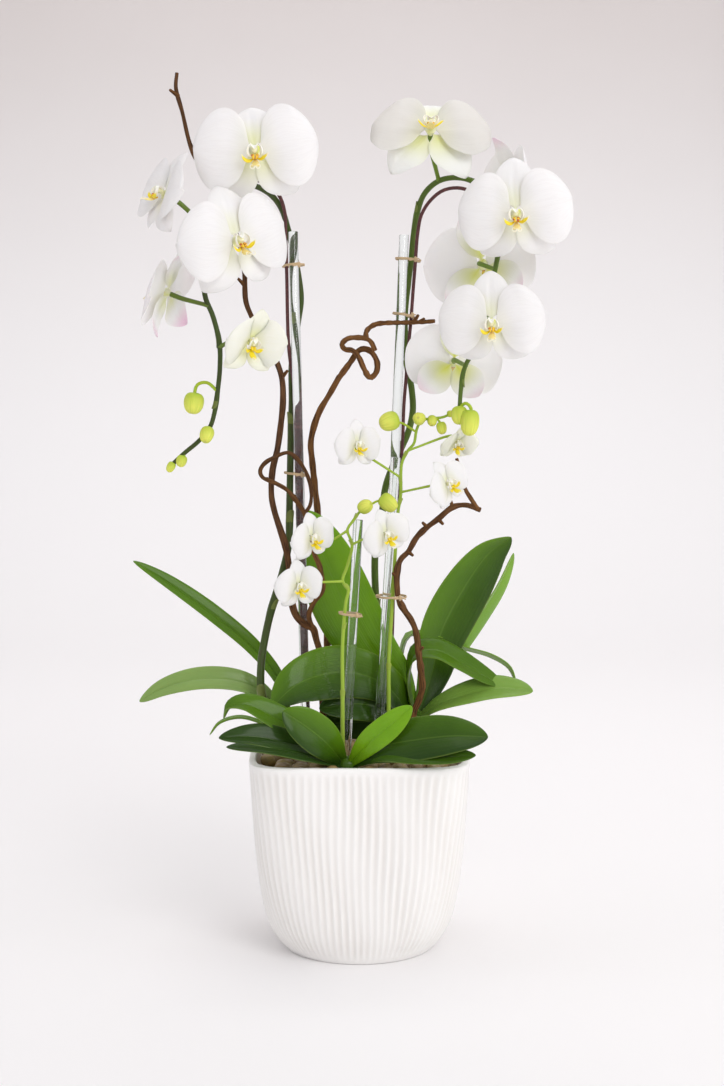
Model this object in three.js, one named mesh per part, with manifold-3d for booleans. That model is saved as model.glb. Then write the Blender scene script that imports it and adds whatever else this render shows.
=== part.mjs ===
// Moth orchids in a square white pot.
// Three plants, four flower spikes on clear stakes and three dry twigs share the pot.
// Millimetres, +Z up. The origin is the middle of the pot's foot, and the front looks along -Y.

import * as THREE from 'three';
import { mergeVertices } from 'three/addons/utils/BufferGeometryUtils.js';
import Module from 'manifold-3d';

const wasm = await Module();
wasm.setup();

// Pot: half widths up the wall, round at the foot and nearly square at the rim.
const POT_HEIGHT = 172;
const POT_PROFILE = [[0, 65], [9, 71.5], [26, 79.5], [70, 86.8], [172, 92.8]];
const POT_WALL = 6;
const POT_FLOOR = 8;
const POT_RIM_BAND = 6;
const FOOT_SQUARENESS = 2;
const RIM_SQUARENESS = 6;
const RIB_COUNT = 68;
const RIB_DEPTH = 1.1;
const INNER_COLUMNS = 28;
const INNER_HEIGHTS = [26, 70];

// Filling.
const MEDIUM_TOP = 150;
const PEBBLE_BED_TOP = 156;
const PEBBLES_PER_ROW = 5;
const PEBBLE_SIZE = [14.5, 13, 13];
const PEBBLE_MIDDLE = 158.5;
const PEBBLE_CROWN = 0.62;
const PEBBLE_SIDES = 5;
const PEBBLE_SPREAD = 0.91;
const PEBBLE_VARIETY = 0.12;
const CLEARANCE = 0.3;
const SEAT_GAP = 0.3;

// Rods, wires and stems.
const STAKE_RADIUS = 4;
const WIRE_RADIUS = 1.6;
const TIE_RADIUS = 1;
const ROD_FOOT = 40;
const ROOT_FOOT = 110;

// Rings of a stem are this far apart. A straight piece has one stretch only.
const STRAIGHT = 1000;
const SPIKE_STEP = 26;
const PEDICEL_STEP = 20;
const BUD_STALK_STEP = 15;
const WIRE_STEP = 29;
const TWIG_STEP = 21;
const CURL_STEP = 7.5;
const TWIG_END_STEP = 13;

// Blooms, with their parts as shares of the whole width of the bloom.
const LARGE_BLOOM = 96;
const SMALL_BLOOM = 44;
// angle is clockwise from straight up, lift is how far it leans forward, in degrees.
const PETAL = {
  length: 0.47, halfWidth: 0.3, claw: 0.08, widest: 0.55, tip: 0.45, rise: 1.2,
  angle: 84, lift: 6, root: -0.01,
};
const TOP_SEPAL = {
  length: 0.45, halfWidth: 0.165, claw: 0.16, widest: 0.6, tip: 0.4, rise: 1.2,
  angle: 0, lift: -4, root: -0.024,
};
const RIGHT_SEPAL = {
  length: 0.44, halfWidth: 0.17, claw: 0.16, widest: 0.55, tip: 0.3, rise: 1.2,
  angle: 137, lift: -6, root: -0.038,
};
const LEFT_SEPAL = { ...RIGHT_SEPAL, angle: -137, root: -0.052 };
const HUB_RADIUS = 0.05;
const HUB_SIDES = 5;
const PETAL_ROOT = 0.03;
const HUB_DEPTH = 0.062;
const PETAL_THICKNESS = 0.8;
const PETAL_TURN = 3;
const PETAL_VARIETY = 0.03;
const PETAL_ARCH = 10;
const PETAL_CURL = 14;
const PETAL_EDGE_ROUND = 0.13;
const PETAL_EDGE_DROOP = 0.02;
const CLOSED_LIFT = 55;

const COLOURS = {
  glaze: [0xf1efec, 0.25, 0],
  bark: [0x4a3224, 0.95, 0],
  stone: [0xa9753f, 0.6, 0],
  rod: [0xe8f0ec, 0.08, 0],
  raffia: [0xd6b88a, 0.8, 0],
  wire: [0x5a2a2a, 0.5, 0],
  twig: [0x6b452e, 0.85, 0],
  darkStem: [0x35502f, 0.55, 0],
  stem: [0x5d8a35, 0.5, 0],
  paleStem: [0x8fbf3a, 0.5, 0],
  leaf: [0x3f7320, 0.4, 0],
  petal: [0xf7f3f0, 0.55, 0],
  creamPetal: [0xf4f4dc, 0.55, 0],
  lip: [0xf3d23c, 0.5, 0],
};

const orchid = new THREE.Group();
const radians = THREE.MathUtils.degToRad;

function addPiece(name, geometry, colour) {
  const [color, roughness, metalness] = COLOURS[colour];
  const shaded = geometry.index ? geometry.toNonIndexed() : geometry;
  shaded.computeVertexNormals();
  const mesh = new THREE.Mesh(shaded, new THREE.MeshStandardMaterial({ color, roughness, metalness }));
  mesh.name = name;
  orchid.add(mesh);
}

// Solids for joining and cutting.
function toSolid(geometry) {
  const bare = geometry.clone();
  bare.deleteAttribute('normal');
  bare.deleteAttribute('uv');
  const merged = mergeVertices(bare, 1e-4);
  return new wasm.Manifold(new wasm.Mesh({
    numProp: 3,
    vertProperties: new Float32Array(merged.attributes.position.array),
    triVerts: new Uint32Array(merged.index.array),
  }));
}

function toGeometry(solid) {
  const { vertProperties, triVerts, numProp } = solid.getMesh();
  const geometry = new THREE.BufferGeometry();
  const position = new Float32Array((vertProperties.length / numProp) * 3);
  for (let i = 0; i < vertProperties.length / numProp; i += 1) {
    position.set(vertProperties.subarray(i * numProp, i * numProp + 3), i * 3);
  }
  geometry.setAttribute('position', new THREE.BufferAttribute(position, 3));
  geometry.setIndex(new THREE.BufferAttribute(new Uint32Array(triVerts), 1));
  return withoutCrumbs(geometry);
}

// Corners that a join leaves closer together than this become one.
const CRUMB = 0.02;

function withoutCrumbs(geometry) {
  const welded = mergeVertices(geometry, CRUMB);
  const { array } = welded.index;
  const kept = [];
  for (let i = 0; i < array.length; i += 3) {
    const [a, b, c] = array.slice(i, i + 3);
    if (a !== b && b !== c && a !== c) kept.push(a, b, c);
  }
  welded.setIndex(kept);
  return welded;
}

function joined(geometries) {
  return geometries.map(toSolid).reduce((whole, part) => whole.add(part));
}

function without(solid, tools) {
  return tools.map(toSolid).reduce((rest, tool) => rest.subtract(tool), solid);
}

function largestBody(solid) {
  return solid.decompose().reduce((best, body) => (body.volume() > best.volume() ? body : best));
}

// A cylinder whose vertices are moved one by one. place(row, angle, reach) gives each vertex,
// and reach is 1 on the skin and 0 in the middle of an end.
function mouldedCylinder(columns, rows, place) {
  const geometry = new THREE.CylinderGeometry(1, 1, 1, columns, rows);
  const position = geometry.attributes.position;
  for (let i = 0; i < position.count; i += 1) {
    const row = Math.round((position.getY(i) + 0.5) * rows);
    const angle = Math.atan2(-position.getZ(i), position.getX(i));
    const reach = Math.hypot(position.getX(i), position.getZ(i));
    const point = place(row, angle, reach);
    position.setXYZ(i, point.x, point.y, point.z);
  }
  return geometry;
}

function routeCurve(points) {
  return new THREE.CatmullRomCurve3(points.map((p) => new THREE.Vector3(...p)), false, 'centripetal');
}

function evenPoints(curve, step) {
  return curve.getSpacedPoints(Math.max(1, Math.round(curve.getLength() / step)));
}

// A round stem that tapers along a smooth route.
function stem(points, startRadius, endRadius, step, sides) {
  const curve = routeCurve(points);
  const centres = evenPoints(curve, step);
  const rows = centres.length - 1;
  const frames = curve.computeFrenetFrames(rows);
  return mouldedCylinder(sides, rows, (row, angle, reach) => {
    const radius = reach * THREE.MathUtils.lerp(startRadius, endRadius, row / rows);
    return centres[row].clone()
      .addScaledVector(frames.normals[row], Math.cos(angle) * radius)
      .addScaledVector(frames.binormals[row], Math.sin(angle) * radius);
  });
}

// A thin blade. surface(s, t) gives its middle face, with s from root to tip and t across.
// Both faces are split along the same diagonals.
function blade(surface, rows, columns, thickness) {
  const faces = [[], []];
  const nudge = 1e-3;
  for (let i = 0; i <= rows; i += 1) {
    for (let j = 0; j <= columns; j += 1) {
      const s = i / rows;
      const t = (2 * j) / columns - 1;
      const along = surface(Math.min(s + nudge, 1), t).sub(surface(Math.max(s - nudge, 0), t));
      const across = surface(s, Math.min(t + nudge, 1)).sub(surface(s, Math.max(t - nudge, -1)));
      const half = along.cross(across).normalize().multiplyScalar(thickness / 2);
      faces[0].push(surface(s, t).add(half));
      faces[1].push(surface(s, t).sub(half));
    }
  }
  const index = (i, j) => i * (columns + 1) + j;
  const under = faces[0].length;
  const triangles = [];
  const quad = (a, b, c, d) => triangles.push(a, b, c, a, c, d);
  for (let i = 0; i < rows; i += 1) {
    for (let j = 0; j < columns; j += 1) {
      const [a, b, c, d] = [index(i, j), index(i + 1, j), index(i + 1, j + 1), index(i, j + 1)];
      triangles.push(a, b, c, a, c, d);
      triangles.push(a + under, c + under, b + under, a + under, d + under, c + under);
    }
  }
  const edge = (from, to) => quad(to, from, from + under, to + under);
  for (let i = 0; i < rows; i += 1) {
    edge(index(i, 0), index(i + 1, 0));
    edge(index(i + 1, columns), index(i, columns));
  }
  for (let j = 0; j < columns; j += 1) {
    edge(index(rows, j), index(rows, j + 1));
    edge(index(0, j + 1), index(0, j));
  }
  const geometry = new THREE.BufferGeometry().setFromPoints(faces.flat());
  geometry.setIndex(triangles);
  return geometry;
}

// Share of the full half width at s, from a narrow claw to a blunt tip.
function outline(s, { claw, widest, tip, rise }) {
  if (s < widest) return claw + (1 - claw) * Math.sin((Math.PI / 2) * (s / widest)) ** rise;
  const past = (s - widest) / (1 - widest);
  return tip + (1 - tip) * Math.sqrt(Math.max(0, 1 - past * past));
}

// The same small differences each time, from -1 to 1, for one number and one key.
function vary(number, key) {
  const wave = Math.sin(number * 12.9898 + key * 78.233) * 43.5453;
  return 2 * (wave - Math.floor(wave)) - 1;
}

// Pot outline at a height: half width, and how square it is.
function potHalfWidth(z) {
  const upper = Math.max(1, POT_PROFILE.findIndex(([height]) => height >= Math.min(z, POT_HEIGHT)));
  const [z0, w0] = POT_PROFILE[upper - 1];
  const [z1, w1] = POT_PROFILE[upper];
  return THREE.MathUtils.mapLinear(z, z0, z1, w0, w1);
}

function potReach(angle, z, inset) {
  const squareness = THREE.MathUtils.mapLinear(z, 0, POT_HEIGHT, FOOT_SQUARENESS, RIM_SQUARENESS);
  const spread = Math.abs(Math.cos(angle)) ** squareness + Math.abs(Math.sin(angle)) ** squareness;
  return (potHalfWidth(z) - inset) / spread ** (1 / squareness);
}

// Angles that stand evenly apart along the rim.
function evenAngles(count) {
  const samples = 1440;
  const step = (2 * Math.PI) / samples;
  const lengths = [0];
  for (let k = 1; k <= samples; k += 1) {
    const [r0, r1] = [potReach((k - 1) * step, POT_HEIGHT, 0), potReach(k * step, POT_HEIGHT, 0)];
    lengths.push(lengths[k - 1] + Math.hypot(r1 * Math.cos(step) - r0, r1 * Math.sin(step)));
  }
  return Array.from({ length: count }, (_, n) => {
    const wanted = (n / count) * lengths[samples];
    const k = lengths.findIndex((length) => length > wanted) - 1;
    return (k + (wanted - lengths[k]) / (lengths[k + 1] - lengths[k])) * step;
  });
}

// A solid that follows the pot's outline at the given heights.
function potShape(heights, columns, inset, ribDepth = 0) {
  const angles = evenAngles(columns);
  return mouldedCylinder(columns, heights.length - 1, (row, turn, reach) => {
    const column = Math.round((turn / (2 * Math.PI)) * columns + columns) % columns;
    const angle = angles[column];
    const z = heights[row];
    const ribbed = z > 0 && z < POT_HEIGHT ? ribDepth : 0;
    const radius = reach * (potReach(angle, z, inset) - (column % 2) * ribbed);
    return new THREE.Vector3(radius * Math.cos(angle), radius * Math.sin(angle), z);
  });
}

function makePot() {
  const skinHeights = POT_PROFILE.map(([z]) => z);
  skinHeights.splice(-1, 0, POT_HEIGHT - POT_RIM_BAND);
  const skin = toSolid(potShape(skinHeights, 2 * RIB_COUNT, 0, RIB_DEPTH));
  const innerHeights = [POT_FLOOR, ...INNER_HEIGHTS, MEDIUM_TOP, POT_HEIGHT + 1];
  const inside = potShape(innerHeights, INNER_COLUMNS, POT_WALL);
  return toGeometry(without(skin, [inside]));
}

// Routes of everything that stands in the pot.
const STAKE_ROUTES = {
  stake_left: [[-43, 8, ROD_FOOT], [-56, 8, 611]],
  stake_right_tall: [[15.5, 18, ROD_FOOT], [38, 18, 609]],
  stake_right_short: [[7.5, -11, ROD_FOOT], [31, 0, 421]],
  stake_middle: [[-18, -30, ROD_FOOT], [-1, -30, 370]],
};

const WIRE_ROUTES = {
  training_wire_left: [
    [-48, 17, ROOT_FOOT], [-49, 14.3, 240], [-50, 14.3, 286], [-50, 14.3, 332], [-50, 14.3, 376],
    [-51, 14.3, 415], [-53, 14.3, 448], [-56, 14, 482], [-60, 11.5, 512], [-61.7, 11.5, 579],
    [-62.3, 4, 612], [-62.5, -3, 626], [-67, -11, 639.5], [-77, -22, 647], [-86, -30, 650.5],
  ],
  training_wire_right: [
    [26, 33, ROOT_FOOT], [28, 36, 242], [29, 35, 271], [30, 30, 313], [32, 27, 357], [35, 24, 400],
    [37, 14, 435], [38, 13, 465], [40, 13, 490], [42, 14, 516], [44, 16, 538], [46, 16, 566],
    [47.5, 13, 586], [49, 6, 608], [52, -1, 624], [59, -8, 635], [69, -16, 642.5], [81, -24, 644],
    [92, -31, 640], [101, -37, 630], [106, -40, 614], [107, -41, 600],
  ],
};

const TWIG_ROUTES = {
  tall: [
    [-32, 12, ROOT_FOOT], [-32, 11, 215], [-33, 6, 247], [-37, 2, 264], [-40, -3, 275], [-46, -3, 278],
    [-53, -2, 284], [-57, -2, 294], [-59, -2, 312], [-60, -2, 329], [-63, 0, 346], [-67, 3, 358],
    [-72, 5, 373], [-75, 5, 388], [-74, 5, 410], [-70, 5, 427], [-67, 5, 448], [-65, 5, 469],
    [-66, 5, 488], [-71, 5, 503], [-83, 8, 524], [-92, 5, 541], [-96, 0, 553], [-97, 0, 580],
    [-101, 5, 599], [-108, 10, 619], [-118, 10, 638], [-129, 8, 657], [-136, 6, 669],
    [-142, 4, 683], [-148, 2, 709], [-153, 0, 729], [-152, 0, 741],
  ],
  loop: [
    [-40, -3, 275], [-43, -14, 288], [-38, -20, 300], [-31, -22, 310], [-33, -20, 328], [-39, -14, 342],
    [-44, -6, 359], [-47, -2, 374], [-52, -2, 382], [-61, -4, 393], [-71, -5, 399], [-82, -6, 404],
    [-84, -7, 409], [-81, -8, 415], [-72, -8, 421], [-60, -8, 425], [-52, -6, 419], [-45, -3, 408],
    [-41, -1, 393], [-42, -1, 380], [-46, -2, 374],
  ],
  curly: [
    [-28, 52, ROOT_FOOT], [-28, 50, 243], [-30, 47, 282], [-34, 41, 329], [-37, 34, 375],
    [-39, 31, 394], [-41, 28, 417], [-42, 26, 432], [-39, 24, 447], [-34, 22, 460], [-25, 18, 475],
    [-17, 14, 489],
  ],
  curl: [
    [-17, 14, 489], [-8, 11, 501], [1, 9, 512], [9, 6, 511], [15, 4, 501], [14, 2, 492], [9, 1, 488],
    [4, 0, 495], [-1, 1, 506], [-6, 3, 511], [-12, 4, 512], [-15, 1, 516], [-10, -2, 521],
    [-2, -3, 522], [6, -3, 521], [10, -2, 518], [13, -1, 511],
  ],
  curlyEnd: [[6, -3, 520], [6, 1, 527], [13, 7, 533], [31, 11, 534.5], [46, 11, 535], [64, 10, 536]],
  right: [
    [45, -1, ROOT_FOOT], [46, -2, 199], [51, -4, 212], [54, -6, 224], [53, -8, 236], [51, -10, 251],
    [48, -12, 273], [44, -14, 283], [38, -16, 292], [33, -18, 302], [31.5, -18, 314], [32, -18, 328],
    [35, -18, 336], [41, -18, 342], [48, -20, 354], [57, -22, 363], [66, -24, 370], [78, -26, 380],
    [89, -28, 382], [101, -30, 378],
  ],
  rightEnd: [[99, -30, 378], [93, -30, 388], [88, -30, 396], [84, -30, 411], [81, -30, 421]],
};

const SPIKE_ROUTES = {
  left: [
    [-66, -2, ROOT_FOOT], [-66, -3, 165], [-74, -8, 195], [-83, -12, 217], [-84, -8, 244],
    [-81, -4, 265], [-75, 0, 292], [-66, 5, 322], [-61, 10, 345], [-60, 15, 383], [-59, 19, 435],
    [-58, 20.5, 469], [-58, 21, 499], [-54, 21, 529], [-50, 21, 554], [-52, 19, 575], [-56, 16.5, 596],
    [-60.5, 14, 613], [-64, 6, 626], [-70, -8, 636], [-78, -22, 642], [-89, -34, 645],
    [-102, -42, 641], [-116, -46, 624], [-123, -47, 600], [-127, -46, 575], [-126, -45, 554],
    [-120, -42, 538], [-115, -40, 516], [-115, -38, 496], [-117, -36, 478], [-120, -35, 459],
    [-124, -34, 447], [-133, -33, 436], [-145, -32, 426], [-156, -31, 416],
  ],
  right: [
    [44, 50, ROOT_FOOT], [43, 46, 165], [38, 40, 205], [25, 42, 231], [17, 45, 266], [14, 45, 302],
    [14, 42, 338], [19, 38, 364], [23, 32, 395], [32, 28, 419], [42, 27, 441], [46, 27, 460],
    [45, 27, 478], [42, 27, 495], [40, 27, 516], [39, 27, 537], [41, 27, 563], [44, 25, 586],
    [46, 20, 609], [49, 12, 628], [55, 3, 642.5], [65, -5, 651], [76, -12, 653.5], [90, -22, 651],
    [103, -32, 642], [113, -40, 625], [116.5, -44, 603], [113, -46, 587], [110, -46, 571],
    [107, -46, 553], [104, -45, 537], [100, -42, 516], [90, -38, 503], [86, -36, 493],
    [84, -35, 478], [83, -34, 463],
  ],
  smallRight: [
    [25, -14, ROOT_FOOT], [25, -11, 192], [25, -11, 214], [25, -12, 249], [27, -12, 283],
    [29, -12, 317], [31, -12, 351], [33, -11, 378], [35, -10, 390], [35, -10, 404], [36, -10, 417],
    [41, -11, 427], [46, -12, 433], [48, -13, 444], [52, -14, 452], [61, -14, 454], [70, -14, 455],
    [77, -14, 458],
  ],
  smallFront: [
    [-15, -38, ROOT_FOOT], [-14, -43, 170], [-14, -44, 202], [-14, -42, 228], [-14, -40, 266],
    [-11, -38, 303], [-9, -38, 312], [-14, -38, 319], [-10, -38, 332], [-6, -38, 350],
    [-10, -39, 362], [-5, -40, 370], [1, -41, 378], [7, -42, 381],
  ],
};

// Leaves: a route for the midrib, which way the right edge points at root and tip, half width
// and how far the two halves fold up. The right edge is seen from the upper face, tip up.
const LEAVES = {
  leaves_right_plant: {
    crown: [48, 22, 194],
    leaves: [
      { route: [[46, 24, 194], [30, 31, 226], [8, 33, 253], [-12, 31, 288], [-30, 27, 330],
        [-41, 25, 358], [-48, 22, 374]], root: [0.87, 0.1, 0.49], end: [0.9, 0.1, 0.4],
        halfWidth: 28, fold: 8 },
      { route: [[52, 26, 194], [64, 36, 231], [71, 42, 263], [89, 46, 299], [114, 46, 335],
        [133, 42, 349]], root: [0.82, 0.25, -0.57], end: [0.75, 0.5, -0.5], halfWidth: 24, fold: 20 },
      { route: [[54, 28, 192], [70, 55, 224], [86, 64, 247], [106, 70, 275], [124, 74, 302],
        [138, 76, 332]], root: [0.35, 0.9, -0.25], end: [0.35, 0.9, -0.2], halfWidth: 18, fold: 18 },
      { route: [[50, 28, 195], [37, 41, 236], [44, 47, 261], [64, 52, 260], [92, 60, 248],
        [117, 64, 240], [133, 64, 230], [140, 62, 216]], root: [0, -1, 0], end: [0.1, -1, 0.2],
        halfWidth: 13, fold: 14 },
      { route: [[48, 19, 195], [43, 14, 232], [49, 11, 251], [66, 7, 254], [86, 2, 245], [105, -1, 234],
        [124, -4, 224]], root: [0, -0.88, -0.47], end: [0, -0.75, -0.65], halfWidth: 14, fold: 14 },
      { route: [[52, 16, 194], [69, 1, 208], [91, -5, 217], [114, -9, 223], [133, -11, 223.5],
        [148, -13, 222]], root: [0, -0.9, -0.4], end: [0.1, -0.8, -0.6], halfWidth: 16, fold: 14 },
      { route: [[43, 14, 192], [32, 8, 214], [16, 5, 228], [-5, -2, 236], [-29, -20, 238],
        [-53, -35, 231], [-73, -43, 214]], root: [-0.2, 0.05, 0.97], end: [-0.3, 0.6, 0.7],
        halfWidth: 23, fold: 8 },
      { route: [[42, 15, 188], [28, 8, 199], [12, 5, 206], [-8, -8, 210], [-34, -22, 208]],
        root: [-0.2, 0.05, 0.97], end: [-0.2, 0.65, 0.7], halfWidth: 15, fold: 8 },
      { route: [[43, 28, 188], [30, 27, 188], [10, 31, 187], [-12, 34, 186], [-36, 33, 184]],
        root: [0, 0.1, 0.99], end: [0, 0.1, 0.99], halfWidth: 15, fold: 4 },
    ],
  },
  leaves_left_plant: {
    crown: [-62, 26, 184],
    leaves: [
      { route: [[-62, 28, 184], [-70, 40, 220], [-93, 50, 248], [-128, 56, 277], [-168, 56, 306],
        [-200, 52, 327]], root: [0.5, 0.6, 0.6], end: [0.3, 0.7, 0.6], halfWidth: 9, fold: 22 },
      { route: [[-62, 24, 184], [-76, 14, 208], [-98, 8, 225], [-133, 4, 230], [-167, 0, 223],
        [-189, -2, 211]], root: [0.3, 0.6, 0.7], end: [-0.3, 0.5, 0.8], halfWidth: 11, fold: 14 },
    ],
  },
  leaves_front_plant: {
    crown: [-10, -56, 170],
    leaves: [
      { route: [[-8, -57, 169], [18, -72, 186], [45, -84, 194], [75, -92, 199], [104, -96, 199]],
        root: [0, -0.6, -0.8], end: [0.1, -0.7, -0.7], halfWidth: 20, fold: 10 },
      { route: [[-6, -58, 168], [20, -77, 182], [47, -92, 184], [73, -98, 184], [94, -100, 185]],
        root: [0, -0.8, -0.6], end: [0.1, -0.8, -0.6], halfWidth: 11, fold: 8 },
      { route: [[-8, -61, 169], [8, -74, 190], [25, -78, 205], [43, -78, 221]],
        root: [0.78, -0.2, -0.62], end: [0.78, -0.2, -0.62], halfWidth: 11, fold: 16 },
      { route: [[-13, -59, 170], [-28, -76, 191], [-44, -85, 206], [-62, -88, 219]],
        root: [0.6, 0.3, 0.75], end: [0.5, 0.3, 0.8], halfWidth: 16, fold: 14 },
      { route: [[-13, -55, 169], [-41, -63, 191], [-69, -68, 209], [-94, -70, 221], [-106, -72, 219],
        [-111, -75, 210]], root: [0.4, 0.5, 0.75], end: [0.1, 0.9, 0.4], halfWidth: 12, fold: 22 },
      { route: [[-14, -52, 169], [-50, -42, 184], [-80, -40, 199], [-100, -42, 205], [-117, -46, 201],
        [-125, -48, 191]], root: [0, 1, 0], end: [0, 1, 0], halfWidth: 7, fold: 8 },
      { route: [[-13, -58, 169], [-46, -74, 184], [-79, -84, 196], [-114, -90, 197]],
        root: [0.1, 0.7, 0.7], end: [0, 0.8, 0.6], halfWidth: 12, fold: 24 },
      { route: [[-12, -59, 167], [-44, -80, 181], [-76, -94, 190], [-107, -102, 192]],
        root: [0, 0.85, 0.5], end: [0, 0.9, 0.4], halfWidth: 9, fold: 8 },
    ],
  },
};
const LEAF_OUTLINE = { claw: 0.22, widest: 0.58, tip: 0.32, rise: 1 };
const LEAF_THICKNESS = 1.8;
const LEAF_ROW = 32;
const LEAF_FEWEST_ROWS = 4;
const LEAF_EDGE_ROUND = 0.05;
const CROWN_RADIUS = 9;
const CROWN_ROOT_RADIUS = 6;
const CROWN_STEP = 60;

function makeLeaf({ route, root, end, halfWidth, fold }) {
  const curve = routeCurve(route);
  const rows = Math.max(LEAF_FEWEST_ROWS, Math.round(curve.getLength() / LEAF_ROW));
  const slope = Math.tan(radians(fold));
  const surface = (s, t) => {
    const tangent = curve.getTangentAt(s);
    const across = new THREE.Vector3(...root).lerp(new THREE.Vector3(...end), s * s);
    across.addScaledVector(tangent, -across.dot(tangent)).normalize();
    const upper = across.clone().cross(tangent);
    const reach = halfWidth * outline(s, LEAF_OUTLINE);
    return curve.getPointAt(s * (1 - LEAF_EDGE_ROUND * t * t * s))
      .addScaledVector(across, reach * t)
      .addScaledVector(upper, reach * slope * Math.abs(t));
  };
  return blade(surface, rows, 2, LEAF_THICKNESS);
}

function makeCrown([x, y, z]) {
  return stem([[x, y, ROOT_FOOT], [x, y, z]], CROWN_ROOT_RADIUS, CROWN_RADIUS, CROWN_STEP, 7);
}

// Blooms: the spike they grow on and where their stalk leaves it, where the hub is, which way
// the face looks (azimuth turns towards +X, elevation is up) and its roll, clockwise as seen from
// the front. open below 1 is a bloom that is still opening.
const BLOOMS = [
  {
    name: 'bloom_1', spike: 'left', from: [-93, -36.5, 643.8],
    at: [-83, -70.5, 668], azimuth: 0, elevation: -5, roll: -4, width: 1.04, topSepal: 0.74,
  },
  {
    name: 'bloom_2', spike: 'left', from: [-121, -46, 607],
    at: [-96.5, -84, 596], azimuth: 29, elevation: 3, roll: -14,
  },
  {
    name: 'bloom_3', spike: 'left', from: [-121, -47, 606],
    at: [-159, -50, 636], azimuth: -60, elevation: 22, roll: 8, open: 0.75, width: 0.83,
  },
  {
    name: 'bloom_4', spike: 'left', from: [-115, -40, 514],
    at: [-88, -66, 517], azimuth: 34, elevation: -22, roll: 4, open: 0.4, width: 0.66,
  },
  {
    name: 'bloom_5', spike: 'left', from: [-124, -44, 547],
    at: [-159, -42, 558], azimuth: -105, elevation: 21, roll: 12, open: 0.88, width: 0.87,
  },
  {
    name: 'bloom_6', spike: 'right', from: [66, -6, 652],
    at: [58, -40, 690], azimuth: 0, elevation: 42, roll: 3, width: 1.04,
  },
  {
    name: 'bloom_7', spike: 'right', from: [112, -39, 627],
    at: [124, -86, 617], azimuth: -4, elevation: -6, roll: -4, width: 0.97,
  },
  {
    name: 'bloom_8', spike: 'right', from: [111, -46, 576],
    at: [103, -12, 582], azimuth: 165, elevation: 0, roll: 10,
  },
  {
    name: 'bloom_9', spike: 'right', from: [103, -44, 530],
    at: [105.4, -88, 531], azimuth: -6, elevation: -9, roll: -2, width: 0.9,
  },
  {
    name: 'bloom_10', spike: 'right', from: [88, -37, 498],
    at: [80, 4, 501], azimuth: 178, elevation: -8, roll: -8, width: 0.86,
  },
  {
    name: 'bloom_11', spike: 'right', from: [97, -27, 647],
    at: [127, -12, 648], azimuth: 112, elevation: 5, roll: 0, width: 0.85,
  },
  {
    name: 'small_bloom_1', spike: 'smallRight', from: [35, -10, 404],
    at: [-2, -30, 432], azimuth: 28, elevation: 0, roll: 0, open: 0.75,
  },
  {
    name: 'small_bloom_2', spike: 'smallRight', from: [41, -11, 427],
    at: [82, -13, 434], azimuth: 24, elevation: -34, roll: 0, open: 0.45, width: 0.85,
  },
  {
    name: 'small_bloom_3', spike: 'smallRight', from: [35, -10, 392],
    at: [73, -48, 401], azimuth: 38, elevation: 4, roll: -32, open: 0.75,
  },
  {
    name: 'small_bloom_4', spike: 'smallFront', from: [-6, -38, 350],
    at: [22, -60, 360], azimuth: 28, elevation: -8, roll: -22, open: 0.75,
  },
  {
    name: 'small_bloom_5', spike: 'smallFront', from: [-10, -39, 361], via: [-26, -30, 352],
    at: [-39, -58, 357], azimuth: 38, elevation: -5, roll: -12, open: 0.75,
  },
  {
    name: 'small_bloom_6', spike: 'smallFront', from: [-14, -38, 319],
    at: [-50, -62, 318], azimuth: 28, elevation: -5, roll: -6, open: 0.75,
  },
];

function bloomWidth(bloom) {
  return (bloom.name.startsWith('small') ? SMALL_BLOOM : LARGE_BLOOM) * (bloom.width ?? 1);
}

// The bloom's own axes: across, up and the way it faces.
function bloomAxes({ azimuth, elevation, roll }) {
  const [az, el] = [radians(azimuth), radians(elevation)];
  const facing = new THREE.Vector3(Math.sin(az) * Math.cos(el), -Math.cos(az) * Math.cos(el), Math.sin(el));
  const up = new THREE.Vector3(0, 0, 1).addScaledVector(facing, -Math.sin(el)).normalize();
  up.applyAxisAngle(facing, -radians(roll));
  return new THREE.Matrix4().makeBasis(up.clone().cross(facing), up, facing);
}

function bloomPlacement(bloom) {
  return bloomAxes(bloom).setPosition(...bloom.at);
}

// One petal or sepal, in the bloom's own axes.
function makePetal(part, width, open, rows, seed) {
  const turn = part.angle;
  const angle = radians(turn + PETAL_TURN * vary(seed, turn));
  const lift = radians(part.lift + (1 - open) * CLOSED_LIFT);
  const along = new THREE.Vector3(Math.sin(angle), Math.cos(angle), 0);
  const across = new THREE.Vector3(Math.cos(angle), -Math.sin(angle), 0);
  const length = part.length * width * (1 + PETAL_VARIETY * vary(seed, turn + 1));
  const surface = (s, t) => {
    const reach = length * (s - PETAL_EDGE_ROUND * t * t * s * s);
    const bend = lift - radians(PETAL_CURL) * s * s + radians(PETAL_ARCH) * s * (1 - s);
    return new THREE.Vector3(0, 0, part.root * width)
      .addScaledVector(along, PETAL_ROOT * width + reach * Math.cos(bend))
      .addScaledVector(across, part.halfWidth * width * outline(s, part) * t)
      .add(new THREE.Vector3(0, 0, reach * Math.sin(bend) - PETAL_EDGE_DROOP * width * t * t * s));
  };
  return blade(surface, rows, 2, PETAL_THICKNESS);
}

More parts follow.
